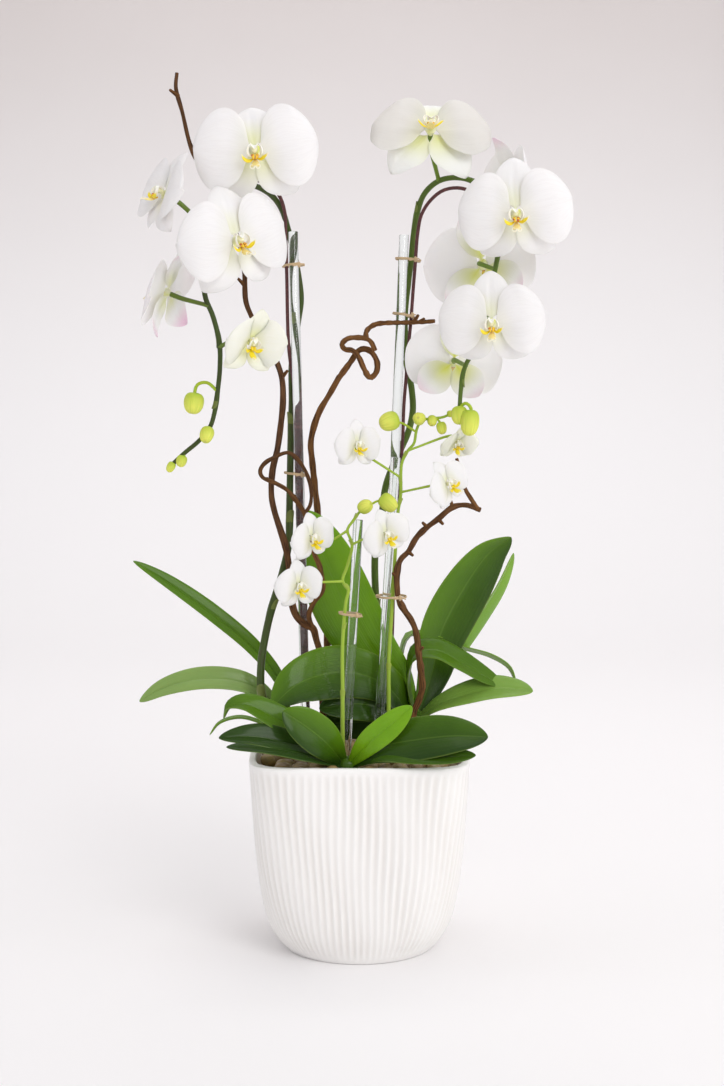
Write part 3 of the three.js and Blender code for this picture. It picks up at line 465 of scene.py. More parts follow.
# %% Pot shape
POT_HEIGHT = 172
POT_OUTLINE = Route([(0, 65, 0), (0, 71.5, 9), (0, 79.5, 26), (0, 86.8, 70), (0, 92.8, 172)])
POT_WALL = 6
POT_FLOOR = 8
RIB_COUNT = 98
RIB_DEPTH = 1.25
RIB_SHARPNESS = 0.65
RIB_WANDER = 0.22
RIBS_END = 169
RIBS_FADE_IN, RIBS_FADE_OUT = 14, 7
COLUMNS_PER_RIB = 6
FOOT_SQUARENESS = 2
RIM_SQUARENESS = 6


def pot_half_width(z):
    """Half the outer width in millimetres at a height in millimetres."""
    return np.interp(z, POT_OUTLINE.line[:, 2] / MM, POT_OUTLINE.line[:, 1] / MM)


def pot_reach(angle, z, inset=0.0):
    """From the axis to the wall at an angle and a height, in millimetres."""
    squareness = FOOT_SQUARENESS + (RIM_SQUARENESS - FOOT_SQUARENESS) * z / POT_HEIGHT
    spread = np.abs(np.cos(angle)) ** squareness + np.abs(np.sin(angle)) ** squareness
    return (pot_half_width(z) - inset) / spread ** (1 / squareness)


def even_angles(count):
    """Angles that stand evenly apart along the rim."""
    fine = np.linspace(0, 2 * math.pi, 2881)
    reach = pot_reach(fine, POT_HEIGHT)
    corner = np.stack([reach * np.cos(fine), reach * np.sin(fine)], -1)
    walked = np.concatenate([[0], np.cumsum(np.linalg.norm(np.diff(corner, axis=0), axis=1))])
    return np.interp(np.linspace(0, walked[-1], count + 1), walked, fine)


def eased(x):
    """0 to 1 with soft ends."""
    x = np.clip(x, 0, 1)
    return x * x * (3 - 2 * x)


def rib_relief(turn, z):
    """How deep the skin is cut at a share of the way round and a height, in millimetres."""
    wander = RIB_WANDER * np.sin(2 * math.pi * 5 * turn + z / 31) * np.sin(z / 47 + 9 * turn)
    groove = 0.5 - 0.5 * np.cos(2 * math.pi * (RIB_COUNT * turn + wander))
    uneven = 0.8 + 0.2 * np.sin(2 * math.pi * 11 * turn + z / 23)
    fade = eased(z / RIBS_FADE_IN) * eased((RIBS_END - z) / RIBS_FADE_OUT)
    return RIB_DEPTH * uneven * groove ** RIB_SHARPNESS * fade


# %% Pot skin
RIBBED_HEIGHTS = (0.5, *np.linspace(2, 26, 9), *np.linspace(31, 160, 24), 164, 167, 169.5)
INNER_HEIGHTS = (169, 160, 140, 100, 60, 26, 14)
# Rows of the skin: height, how far inside the outline, and whether the ribs are cut there.
OUTER_ROWS = [(0, 3, 0), (0, 0.8, 0), *((z, 0, 1) for z in RIBBED_HEIGHTS)]
RIM_ROWS = [(171.2, 0.3, 0), (172, 1.4, 0), (172, 4.6, 0), (171.2, 5.7, 0)]
INNER_ROWS = [*((z, POT_WALL, 0) for z in INNER_HEIGHTS), (POT_FLOOR, POT_WALL + 3, 0)]


def level_ring(reach, angle, z):
    """A ring of points at one height. reach and z are in millimetres."""
    height = np.full(len(angle), z)
    return np.stack([reach * np.cos(angle), reach * np.sin(angle), height], -1) * MM


def make_pot():
    """One closed skin: up the ribbed wall, over the rim and down to the inner floor."""
    count = RIB_COUNT * COLUMNS_PER_RIB
    angle = even_angles(count)
    turn = np.linspace(0, 1, count + 1)
    rings = []
    for z, inset, ribs in OUTER_ROWS + RIM_ROWS + INNER_ROWS:
        rings.append(level_ring(pot_reach(angle, z, inset) - ribs * rib_relief(turn, z), angle, z))
    foot = np.zeros((count + 1, 3))
    well = foot + np.array([0, 0, POT_FLOOR * MM])
    rings = np.stack([foot, *rings, well])
    cut = np.zeros(rings.shape[:2])
    for row, (z, _, ribs) in enumerate(OUTER_ROWS):
        cut[row + 1] = ribs * rib_relief(turn, z) / RIB_DEPTH
    spots = np.stack(np.broadcast_arrays(cut, turn, 0.0), -1)
    bm = new_skin()
    add_shell(bm, rings, spots, (0, 0, 0))
    return bm


# %% [markdown]
# The glaze is a satin white. Its grooves are painted a little warmer and darker, as painted
# shade, and it never lies quite flat, so the colour drifts slightly over the wall and a very
# fine bump breaks the highlights.

# %% Pot glaze
glaze = Finish("pot_glaze", (0.9, 0.885, 0.87), Coat_Weight=0.25, Coat_Roughness=0.25)
glaze_drift = glaze.noise(glaze.place(), 14.0)
glaze_speck = glaze.between(glaze.noise(glaze.place(), 900.0, 1.0), 0.70, 0.78)
glaze_tone = glaze.mix(glaze_drift, (0.88, 0.86, 0.835), (0.92, 0.91, 0.895))
glaze_cut, _, _ = glaze.attribute("spot")
# Painted shade: the grooves are painted warmer and darker by how deep they are cut.
glaze_groove_shade = glaze.mix(glaze_cut * 0.5, glaze_tone, (0.74, 0.7, 0.65))
glaze.feed("Base Color", glaze.mix(glaze_speck * 0.2, glaze_groove_shade, (0.7, 0.68, 0.64)))
glaze.feed("Roughness", 0.34 + glaze_drift * 0.14)
glaze.relief(glaze.noise(glaze.stretched(glaze.place(), (1, 1, 0.3)), 160.0), 0.2, 0.0006)
finished("ribbed_pot", make_pot(), glaze, "pot_glaze", "pot")

# %% [markdown]
# ## Bark filling and pebbles
# Orchids grow in chopped bark, which hardly shows here, so its solid stays and gets a bark finish.
# Smooth river stones cover it. A stone is a ball with few faces that is squashed by three
# different amounts. They lie in two loose layers over the whole top, and leave room for the stems.

# %% Bark finish
bark = Finish("bark_chips", (0.1, 0.06, 0.04), Roughness=0.95)
bark_chips = bark.noise(bark.place(), 120.0, 5.0)
bark.feed("Base Color", bark.mix(bark_chips, (0.035, 0.02, 0.013), (0.2, 0.12, 0.07)))
bark.relief(bark_chips, 0.9, 0.004)
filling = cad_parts["growing_medium"]
filling.data.materials.clear()
filling.data.materials.append(bark.material)

# %% Stone places
STONE_SPACING = 14
STONE_DRIFT = 2.6
STONE_LIFT = 1.2
STONE_ROWS = range(-7, 8)
STONE_RADII = (8.6, 7.6, 6.4)
STONE_VARIETY = 0.22
STONE_LAYERS = ((155.0, 0.0), (164.5, 7.0))
# What stands in the pot: x, y and how far from it a stone's middle has to stay.
STANDING = [
    (-50, 8, 9), (-33, 12, 9), (25, 18, 9), (11, -12, 9), (-16, -32, 9), (-66, 0, 7), (44, 48, 7),
    (25, -13, 6), (46, -1, 8), (-28, 51, 7), (26, 34, 5), (-49, 17, 5), (48, 22, 15),
    (-62, 26, 14), (-10, -56, 15),
]


def is_free(x, y):
    """Whether a stone can lie there."""
    return all(math.hypot(x - a, y - b) > clear for a, b, clear in STANDING)


def stone_places():
    """A seed and a centre in millimetres for every stone of the two layers."""
    for layer, (height, shift) in enumerate(STONE_LAYERS):
        for row in STONE_ROWS:
            for column in STONE_ROWS:
                seed = 100 * layer + 15 * row + column
                x = column * STONE_SPACING + shift + STONE_DRIFT * vary(seed, 1)
                y = row * STONE_SPACING + shift + STONE_DRIFT * vary(seed, 2)
                room = pot_reach(math.atan2(y, x), height, POT_WALL + STONE_RADII[0] + 1)
                if math.hypot(x, y) < room and is_free(x, y):
                    yield seed, (x, y, height + STONE_LIFT * vary(seed, 3))


print("stones:", len(list(stone_places())))

# %% Stone shapes
BED_BOTTOM, BED_TOP = 150.4, 153
BED_INSET, BED_ROUNDING = 6.6, 1.4
BED_COLUMNS = 64


def add_bed(bm):
    """A thin disc of gravel under the stones, so that no bark shows between them."""
    turn = np.linspace(0, 2 * math.pi, BED_COLUMNS + 1)
    turn[-1] = 0
    rows = [(BED_BOTTOM, BED_INSET + BED_ROUNDING), (BED_BOTTOM, BED_INSET),
            (BED_TOP, BED_INSET), (BED_TOP, BED_INSET + BED_ROUNDING)]
    skin = [level_ring(pot_reach(turn, z, inset), turn, z) for z, inset in rows]
    low, high = (level_ring(np.zeros(turn.shape), turn, z) for z in (BED_BOTTOM, BED_TOP))
    rings = np.stack([low, *skin, high])
    add_shell(bm, rings, np.zeros(rings.shape), (0.1, 0.1, 0))


def add_stone(bm, seed, place):
    """A ball of few faces, squashed, turned and tipped a little. It carries two tones."""
    tints = bm.verts.layers.float_vector["tint"]
    sizes = [r * (1 + STONE_VARIETY * vary(seed, n + 4)) * MM for n, r in enumerate(STONE_RADII)]
    turned = (Matrix.Rotation(math.pi * vary(seed, 7), 4, "Z")
              @ Matrix.Rotation(0.4 * vary(seed, 8), 4, "X"))
    matrix = Matrix.Translation(Vector(place) * MM) @ turned @ Matrix.Diagonal((*sizes, 1))
    ball = bmesh.ops.create_icosphere(bm, subdivisions=2, radius=1.0, matrix=matrix)
    for v in ball["verts"]:
        v[tints] = (portion(seed, 9), portion(seed, 10), 0)


# %% Pebbles
stone = Finish("river_stone", (0.4, 0.25, 0.14), Coat_Weight=0.3, Coat_Roughness=0.12)
stone_warm, stone_light, _ = stone.attribute("tint")
stone_cloud = stone.noise(stone.place(), 70.0, 4.0)
stone_speck = stone.between(stone.noise(stone.place(), 700.0, 2.0), 0.58, 0.68)
stone_base = stone.mix(stone_warm, (0.38, 0.27, 0.1), (0.17, 0.085, 0.027))
stone_base = stone.mix(stone_light * stone_cloud * 0.8, stone_base, (0.5, 0.36, 0.15))
stone_base = stone.mix(stone.between(stone_cloud, 0.5, 0.7) * 0.5, stone_base, (0.16, 0.08, 0.03))
stone.feed("Base Color", stone.mix(stone_speck * 0.35, stone_base, (0.12, 0.08, 0.05)))
stone.feed("Roughness", 0.3 + stone_cloud * 0.3)
stone.relief(stone_cloud + stone_speck * 0.2, 0.3, 0.0008)

bm = new_skin()
add_bed(bm)
for seed, place in stone_places():
    add_stone(bm, seed, place)
finished("pebble_layer", bm, stone, "pebble", "pebbles")

# %% [markdown]
# ## Clear rods
# Each spike is tied to a clear acrylic rod. A rod is a plain round bar with a small round edge at
# the cut ends. Only the way it bends light shows it, so the shader lets all light through and
# bends it as acrylic does, and faint drawn scratches keep it from looking like a hole.

# %% Rods
ROD_RADIUS = 4
ROD_ROUNDING = 0.5
ROD_ROUTES = {
    "stake_left": ((-43, 8, 40), (-56, 8, 611)),
    "stake_right_tall": ((15.5, 18, 40), (38, 18, 609)),
    "stake_right_short": ((7.5, -11, 40), (31, 0, 421)),
    "stake_middle": ((-18, -30, 40), (-1, -30, 370)),
}

acrylic = Finish("clear_acrylic", (0.93, 0.965, 0.95), Transmission_Weight=1.0, IOR=1.49)
acrylic_scratch = acrylic.noise(acrylic.stretched(acrylic.place(), (1, 1, 0.004)), 800.0, 2.0)
acrylic.feed("Roughness", 0.004 + acrylic_scratch * 0.012)
acrylic.relief(acrylic_scratch, 0.008, 0.0001)


def make_rod(foot, top):
    """A round bar between two places in millimetres, rounded where it is cut."""
    foot, top = Vector(foot) * MM, Vector(top) * MM
    bm = new_skin()
    bmesh.ops.create_cone(bm, cap_ends=True, segments=32, radius1=ROD_RADIUS * MM,
                          radius2=ROD_RADIUS * MM, depth=(top - foot).length)
    ends = [e for e in bm.edges if abs(e.verts[0].co.z - e.verts[1].co.z) < SEAM]
    bmesh.ops.bevel(bm, geom=ends, offset=ROD_ROUNDING * MM, offset_type="OFFSET",
                    affect="EDGES", segments=3, profile=0.5, material=-1)
    turn = (top - foot).to_track_quat("Z", "Y").to_matrix().to_4x4()
    bmesh.ops.transform(bm, matrix=Matrix.Translation((foot + top) / 2) @ turn, verts=bm.verts)
    return bm


for node, ends in ROD_ROUTES.items():
    finished(node.replace("stake", "clear_rod"), make_rod(*ends), acrylic, "clear_rod", node)

# %% [markdown]
# ## Raffia ties
# A tie is a strip of dried palm leaf, wound twice round the rod and the stem and knotted at
# the front. Each turn is a flat strand on an oval path. They lie close but not level, and two
# short cut ends stick out of a small knot.

# %% Ties
# Middle, reach to the side and to the front, and how far the right side is raised.
TIES = {
    "raffia_tie_1": ((-56, 13.2, 583), (8.4, 11.9), 1),
    "raffia_tie_2": ((-54.5, 12.4, 406), (9.3, 10.4), -1),
    "raffia_tie_3": ((41.4, 18.4, 588), (10, 10.1), -1),
    "raffia_tie_4": ((39, 20, 541), (9.9, 9.8), -2),
    "raffia_tie_5": ((27, -10, 303), (12.2, 13.3), 0),
    "raffia_tie_6": ((-7.5, -34, 291), (8.85, 9.1), -1),
}
STRAND_RADIUS = 0.5
TIE_TURNS = 2
TIE_STEPS = 16
TIE_PITCH = 0.9
KNOT_ANGLE = 5.3
KNOT_HALF_HEIGHT = 2.2

raffia = Finish("raffia", (0.6, 0.45, 0.27), Roughness=0.75)
raffia_along, raffia_x, raffia_y = raffia.attribute("spot")
raffia_fibre = raffia.noise(raffia.vector(raffia_along * 30, raffia_x * 4, raffia_y * 4), 3.0)
raffia.feed("Base Color", raffia.mix(raffia_fibre, (0.42, 0.27, 0.13), (0.78, 0.6, 0.38)))
raffia.relief(raffia_fibre, 0.5, 0.0004)


def strand_radius(share, angle):
    """A flat strand, in millimetres."""
    return STRAND_RADIUS * (1 + 0.25 * np.cos(2 * angle))


def knot_radius(share, angle):
    """A lump that is thickest halfway, in millimetres."""
    return 0.7 + 1.1 * np.sin(math.pi * share) + 0.1 * np.cos(3 * angle)


def tie_place(middle, reach, angle, out, rise):
    """A place on the oval round the rod and the stem, moved out and up."""
    x, y, z = middle
    return (x + (reach[0] + out) * math.cos(angle), y + (reach[1] + out) * math.sin(angle),
            z + rise)


def make_tie(seed, middle, reach, rise):
    """Two turns of strand, a knot and two cut ends."""
    points = []
    for step in range(TIE_TURNS * TIE_STEPS + 1):
        angle = 2 * math.pi * step / TIE_STEPS + KNOT_ANGLE
        out = 0.65 + 0.3 * vary(seed, step)
        height = TIE_PITCH * (step / TIE_STEPS - TIE_TURNS / 2) + rise * math.cos(angle)
        points.append(tie_place(middle, reach, angle, out, height))
    x, y, z = tie_place(middle, reach, KNOT_ANGLE, 0.5, 0)
    knot = [(x, y, z - KNOT_HALF_HEIGHT), (x + 0.4, y - 0.6, z), (x, y, z + KNOT_HALF_HEIGHT)]
    bm = new_skin()
    add_tube(bm, Route(points), strand_radius, around=8, step=1.6)
    add_tube(bm, Route(knot), knot_radius, around=10, step=0.5)
    for side in (-1, 1):
        end = [(x, y - 0.8, z), (x + side * 2.2, y - 2, z + 0.6 * side),
               (x + side * 5, y - 2.4, z - 1.2)]
        add_tube(bm, Route(end), steady(0.6, 0.4), around=6, step=1.0)
    return bm


for seed, (node, facts) in enumerate(TIES.items()):
    tie = make_tie(seed, *facts)
    finished(node.replace("raffia_tie", "tie"), tie, raffia, "raffia", node)

# %% [markdown]
# ## Training wires
# Growers bend a tall spike over a wire while it is young. The wire is wrapped in dark red-brown
# paper tape, wound at a slant, so the finish has fine slanting lines along it and no gloss.

# %% Wire routes
WIRE_RADIUS = 1.5
WIRE_ROUTES = {
    "training_wire_left": [
        (-48, 17, 110), (-49, 14.3, 240), (-50, 14.3, 286), (-50, 14.3, 332), (-50, 14.3, 376),
        (-51, 14.3, 415), (-53, 14.3, 448), (-56, 14, 482), (-60, 11.5, 512), (-61.7, 11.5, 579),
        (-62.3, 4, 612), (-62.5, -3, 626), (-67, -11, 639.5), (-77, -22, 647), (-86, -30, 650.5),
    ],
    "training_wire_right": [
        (26, 33, 110), (28, 36, 242), (29, 35, 271), (30, 30, 313), (32, 27, 357), (35, 24, 400),
        (37, 14, 435), (38, 13, 465), (40, 13, 490), (42, 14, 516), (44, 16, 538), (46, 16, 566),
        (47.5, 13, 586), (49, 6, 608), (52, -1, 624), (59, -8, 635), (69, -16, 642.5),
        (81, -24, 644), (92, -31, 640), (101, -37, 630), (106, -40, 614), (107, -41, 600),
    ],
}

# %% Wires
tape = Finish("wire_tape", (0.1, 0.02, 0.02), Roughness=0.6)
tape_along, tape_x, tape_y = tape.attribute("spot")
tape_turns = tape.noise(tape.vector(tape_along * 400, tape_x, tape_y), 1.0)
tape_wrap = tape.between(abs(tape_turns - 0.5), 0.0, 0.2)
tape.feed("Base Color", tape.mix(tape_wrap, (0.07, 0.018, 0.02), (0.16, 0.04, 0.038)))
tape.relief(tape_wrap, 0.4, 0.0003)

for node, points in WIRE_ROUTES.items():
    bm = new_skin()
    add_tube(bm, Route(points), steady(WIRE_RADIUS), around=12, step=4)
    finished(node.replace("training_wire", "wrapped_wire"), bm, tape, "dark_wire", node)

# %% [markdown]
# ## Dry twigs
# The tallest twig is a contorted branch, the curly one is a vine that loops on itself, and a short
# one leans to the right. Bark is never round: each stem gets low ridges along it, swells at its
# old nodes, and carries short dead snags. The ridges are in the mesh, the fine cracks in the bump.

# %% Twig tables
TWIG_ROUTES = {
    "tall": [
        (-32, 12, 110), (-32, 11, 215), (-33, 6, 247), (-37, 2, 264), (-40, -3, 275),
        (-46, -3, 278), (-53, -2, 284), (-57, -2, 294), (-59, -2, 312), (-60, -2, 329),
        (-63, 0, 346), (-67, 3, 358), (-72, 5, 373), (-75, 5, 388), (-74, 5, 410), (-70, 5, 427),
        (-67, 5, 448), (-65, 5, 469), (-66, 5, 488), (-71, 5, 503), (-83, 8, 524), (-92, 5, 541),
        (-96, 0, 553), (-97, 0, 580), (-101, 5, 599), (-108, 10, 619), (-118, 10, 638),
        (-129, 8, 657), (-136, 6, 669), (-142, 4, 683), (-148, 2, 709), (-153, 0, 729),
        (-152, 0, 741),
    ],
    "loop": [
        (-40, -3, 275), (-43, -14, 288), (-38, -20, 300), (-31, -22, 310), (-33, -20, 328),
        (-39, -14, 342), (-44, -6, 359), (-47, -2, 374), (-52, -2, 382), (-61, -4, 393),
        (-71, -5, 399), (-82, -6, 404), (-84, -7, 409), (-81, -8, 415), (-72, -8, 421),
        (-60, -8, 425), (-52, -6, 419), (-45, -3, 408), (-41, -1, 393), (-42, -1, 380),
        (-46, -2, 374),
    ],
    "curly": [
        (-28, 52, 110), (-28, 50, 243), (-30, 47, 282), (-34, 41, 329), (-37, 34, 375),
        (-39, 31, 394), (-41, 28, 417), (-42, 26, 432), (-39, 24, 447), (-34, 22, 460),
        (-25, 18, 475), (-17, 14, 489),
    ],
    "curl": [
        (-17, 14, 489), (-8, 11, 501), (1, 9, 512), (9, 6, 511), (15, 4, 501), (14, 2, 492),
        (9, 1, 488), (4, 0, 495), (-1, 1, 506), (-6, 3, 511), (-12, 4, 512), (-15, 1, 516),
        (-10, -2, 521), (-2, -3, 522), (6, -3, 521), (10, -2, 518), (13, -1, 511),
    ],
    "curlyEnd": [
        (6, -3, 520), (6, 1, 527), (13, 7, 533), (31, 11, 534.5), (46, 11, 535), (64, 10, 536),
    ],
    "right": [
        (45, -1, 110), (46, -2, 199), (51, -4, 212), (54, -6, 224), (53, -8, 236), (51, -10, 251),
        (48, -12, 273), (44, -14, 283), (38, -16, 292), (33, -18, 302), (31.5, -18, 314),
        (32, -18, 328), (35, -18, 336), (41, -18, 342), (48, -20, 354), (57, -22, 363),
        (66, -24, 370), (78, -26, 380), (89, -28, 382), (101, -30, 378),
    ],
    "rightEnd": [
        (99, -30, 378), (93, -30, 388), (88, -30, 396), (84, -30, 411), (81, -30, 421),
    ],
}

# Radius in millimetres at the foot and at the tip.
TWIG_RADII = {
    "tall": (3.6, 1.5), "loop": (2.2, 1.6), "curly": (3.2, 2.6), "curl": (2.6, 2.2),
    "curlyEnd": (2.3, 1.8), "right": (3.3, 2.2), "rightEnd": (2.2, 1.4),
}
# Old nodes, as shares of the length.
TWIG_NODES = {
    "tall": (0.1, 0.17, 0.26, 0.37, 0.46, 0.55, 0.66, 0.74, 0.83, 0.9, 0.965),
    "loop": (0.25, 0.5, 0.8), "curly": (0.2, 0.45, 0.75), "curl": (0.5,), "curlyEnd": (0.3, 0.7),
    "right": (0.2, 0.42, 0.6, 0.7, 0.82, 0.93), "rightEnd": (0.5,),
}
# Dead snags, each from its foot to its tip.
TWIG_SNAGS = {
    "tall": [((-151, 0, 722), (-158, -1, 727)), ((-97, -1, 566), (-102, -3, 571)),
             ((-66, 5, 488), (-61, 2, 494)), ((-74, 5, 398), (-79, 3, 403))],
    "curlyEnd": [((46, 11, 535), (50, 9, 541)), ((51, 11, 535), (55, 9, 538))],
    "right": [((41, -18, 342), (45, -21, 339)), ((57, -22, 363), (53, -24, 367)),
              ((66, -24, 370), (70, -27, 366)), ((78, -26, 380), (76, -27, 387)),
              ((50, -11, 256), (54, -14, 260)), ((32, -18, 320), (28, -20, 324))],
}
# The stems that make up each twig, and how fresh its bark is.
TWIG_PIECES = {
    "twig_tall": ("tall", "loop"),
    "twig_curly": ("curly", "curl", "curlyEnd"),
    "twig_right": ("right", "rightEnd"),
}
TWIG_FRESHNESS = {"twig_tall": 0.35, "twig_curly": 0.95, "twig_right": 0.5}
print("twig stems:", len(TWIG_ROUTES))

# %% Twig bark
TWIG_RIDGES = 0.09
NODE_SWELL = 0.5
NODE_LENGTH = 0.012


def twig_radius(key, seed):
    """Tapers, swells at the nodes and has low ridges that turn slowly round the stem."""
    start, end = TWIG_RADII[key]

    def radius(share, angle):
        swell = sum(np.exp(-((share - n) / NODE_LENGTH) ** 2) for n in TWIG_NODES[key])
        ridges = np.sin(3 * angle + 9 * share + seed) + 0.6 * np.sin(5 * angle - 23 * share)
        uneven = 0.06 * np.sin(61 * share + seed) + 0.05 * np.sin(137 * share + 2 * seed)
        taper = start + (end - start) * share
        return taper * (0.96 + TWIG_RIDGES * ridges + uneven) + NODE_SWELL * swell

    return radius


twig_bark = Finish("twig_bark", (0.12, 0.06, 0.03), Roughness=0.85, Specular_IOR_Level=0.2)
twig_along, twig_x, twig_y = twig_bark.attribute("spot")
twig_kind, _, _ = twig_bark.attribute("tint")
twig_fresh = twig_kind + (1 - twig_bark.between(twig_along, 0.08, 0.26)) * 0.55
twig_grain = twig_bark.noise(twig_bark.vector(twig_along * 40, twig_x * 3, twig_y * 3), 2.2, 5.0)
twig_patch = twig_bark.noise(twig_bark.place(), 60.0, 3.0)
twig_crack = twig_bark.between(twig_grain, 0.36, 0.5)
twig_dark = twig_bark.mix(twig_patch, (0.05, 0.022, 0.012), (0.12, 0.056, 0.028))
twig_light = twig_bark.mix(twig_patch, (0.12, 0.046, 0.012), (0.28, 0.13, 0.045))
twig_colour = twig_bark.mix(twig_fresh, twig_dark, twig_light)
twig_bark.feed("Base Color", twig_bark.mix(1 - twig_crack, twig_colour, (0.03, 0.015, 0.01)))
twig_bark.relief(twig_grain + twig_crack * 0.5, 0.7, 0.001)

# %% Twigs
for node, keys in TWIG_PIECES.items():
    bm, tint = new_skin(), (TWIG_FRESHNESS[node], 0, 0)
    for seed, key in enumerate(keys):
        radius = twig_radius(key, seed + len(node))
        add_tube(bm, Route(TWIG_ROUTES[key]), radius, 14, 2.2, tint, 0.25)
        for snag in TWIG_SNAGS.get(key, ()):
            add_tube(bm, Route(snag), steady(2.0, 1.2), 8, 1.2, tint, 0.5)
    finished(node.replace("twig", "dry_twig"), bm, twig_bark, "twig_bark", node)

# %% [markdown]
# ## Blades
# A petal, a leaf and the little sheath at a node are all blades: a curved middle face with a
# thickness that thins to nothing at the rim. The middle face is a formula of two shares, s from
# root to tip and t across. The skin goes up on one side of it and comes back on the other.

# %% Blades
def add_blade(bm, surface, rows, columns, thickness, tint):
    """surface(s, t) gives the middle face in metres. The third part of spot is 1 or -1 by face."""
    s = (0.5 - 0.5 * np.cos(math.pi * np.linspace(0, 1, rows + 1)))[:, None]
    t = np.sin(math.pi / 2 * np.linspace(-1, 1, columns + 1))[None, :]
    middle = surface(s, t)
    step = 4e-3
    inner = np.clip(s, 0.02, 0.97)
    along = surface(inner + step, t) - surface(inner - step, t)
    across = surface(inner, np.minimum(t + step, 1)) - surface(inner, np.maximum(t - step, -1))
    thin = (np.sqrt(np.clip(1 - np.abs(t) ** 6, 0, 1))
            * np.sqrt(np.clip(1 - np.abs(2 * s - 1) ** 12, 0, 1)))
    half = unit(np.cross(across, along)) * (thin * thickness / 2 * MM)[..., None]
    rings = np.concatenate([middle + half, (middle - half)[:, -2::-1]], axis=1)
    s, t = np.broadcast_arrays(s, t)
    face = np.ones(s.shape)
    front, back = (np.stack([s, t, side * face], -1) for side in (1, -1))
    add_shell(bm, rings, np.concatenate([front, back[:, -2::-1]], axis=1), tint)


print("blades are ready")

# %% [markdown]
# ## Flower spikes
# A spike is a firm green stem with a joint every few centimetres. At a joint it swells a little
# and a papery sheath hugs it. Each bloom hangs on its own thin stalk, which leaves the spike at
# the nearest point and runs straight into the back of the flower, so the bloom table comes first.

# %% Bloom table
LARGE_BLOOM = 96
SMALL_BLOOM = 44
YOUNG_OPEN = 0.5
HUB_DEPTH = 0.062
# Where the stalk leaves the spike, where the hub is, and which way the bloom faces, in degrees:
# azimuth from the front to the right, elevation upwards, roll about its own axis.
BLOOMS = {
    "bloom_1": {
        "spike": "left", "leaves_at": (-93, -36.5, 643.8), "at": (-83, -70.5, 668),
        "azimuth": 0, "elevation": -5, "roll": -4, "width": 1.04, "top_sepal": 0.74,
    },
    "bloom_2": {
        "spike": "left", "leaves_at": (-121, -46, 607), "at": (-96.5, -84, 596),
        "azimuth": 29, "elevation": 3, "roll": -14,
    },
    "bloom_3": {
        "spike": "left", "leaves_at": (-121, -47, 606), "at": (-159, -50, 636),
        "azimuth": -60, "elevation": 22, "roll": 8, "open": 0.75, "width": 0.83,
    },
    "bloom_4": {
        "spike": "left", "leaves_at": (-115, -40, 514), "at": (-88, -66, 517),
        "azimuth": 34, "elevation": -22, "roll": 4, "open": 0.4, "width": 0.66,
    },
    "bloom_5": {
        "spike": "left", "leaves_at": (-124, -44, 547), "at": (-159, -42, 558),
        "azimuth": -105, "elevation": 21, "roll": 12, "open": 0.88, "width": 0.87,
    },
    "bloom_6": {
        "spike": "right", "leaves_at": (66, -6, 652), "at": (58, -40, 690),
        "azimuth": 0, "elevation": 42, "roll": 3, "width": 1.04,
    },
    "bloom_7": {
        "spike": "right", "leaves_at": (112, -39, 627), "at": (124, -86, 617),
        "azimuth": -4, "elevation": -6, "roll": -4, "width": 0.97,
    },
    "bloom_8": {
        "spike": "right", "leaves_at": (111, -46, 576), "at": (103, -12, 582),
        "azimuth": 165, "elevation": 0, "roll": 10,
    },
    "bloom_9": {
        "spike": "right", "leaves_at": (103, -44, 530), "at": (105.4, -88, 531),
        "azimuth": -6, "elevation": -9, "roll": -2, "width": 0.9,
    },
    "bloom_10": {
        "spike": "right", "leaves_at": (88, -37, 498), "at": (80, 4, 501),
        "azimuth": 178, "elevation": -8, "roll": -8, "width": 0.86,
    },
    "bloom_11": {
        "spike": "right", "leaves_at": (97, -27, 647), "at": (127, -12, 648),
        "azimuth": 112, "elevation": 5, "roll": 0, "width": 0.85,
    },
    "small_bloom_1": {
        "spike": "smallRight", "leaves_at": (35, -10, 404), "at": (-2, -30, 432),
        "azimuth": 28, "elevation": 0, "roll": 0, "open": 0.75,
    },
    "small_bloom_2": {
        "spike": "smallRight", "leaves_at": (41, -11, 427), "at": (82, -13, 434),
        "azimuth": 24, "elevation": -34, "roll": 0, "open": 0.45, "width": 0.85,
    },
    "small_bloom_3": {
        "spike": "smallRight", "leaves_at": (35, -10, 392), "at": (73, -48, 401),
        "azimuth": 38, "elevation": 4, "roll": -32, "open": 0.75,
    },
    "small_bloom_4": {
        "spike": "smallFront", "leaves_at": (-6, -38, 350), "at": (22, -60, 360),
        "azimuth": 28, "elevation": -8, "roll": -22, "open": 0.75,
    },
    "small_bloom_5": {
        "spike": "smallFront", "leaves_at": (-10, -39, 361), "at": (-39, -58, 357),
        "azimuth": 38, "elevation": -5, "roll": -12, "via": (-26, -30, 352), "open": 0.75,
    },
    "small_bloom_6": {
        "spike": "smallFront", "leaves_at": (-14, -38, 319), "at": (-50, -62, 318),
        "azimuth": 28, "elevation": -5, "roll": -6, "open": 0.75,
    },
}


def is_small(name):
    """Whether a bloom belongs to a short spike."""
    return name.startswith("small")


def is_young(name):
    """Whether a bloom is only half open."""
    return BLOOMS[name].get("open", 1) < YOUNG_OPEN


def bloom_size(name):
    """Its width in millimetres."""
    return (SMALL_BLOOM if is_small(name) else LARGE_BLOOM) * BLOOMS[name].get("width", 1)


def bloom_matrix(name):
    """The bloom's own axes, across, up and the way it faces, at its hub, in metres."""
    facts = BLOOMS[name]
    turn, lift, roll = (math.radians(facts[k]) for k in ("azimuth", "elevation", "roll"))
    level = math.cos(lift)
    facing = Vector((math.sin(turn) * level, -math.cos(turn) * level, math.sin(lift)))
    up = (Vector((0, 0, 1)) - facing * facing.z).normalized()
    up = Matrix.Rotation(-roll, 3, facing) @ up
    axes = Matrix((up.cross(facing), up, facing)).transposed().to_4x4()
    return Matrix.Translation(Vector(facts["at"]) * MM) @ axes


print("blooms:", len(BLOOMS))

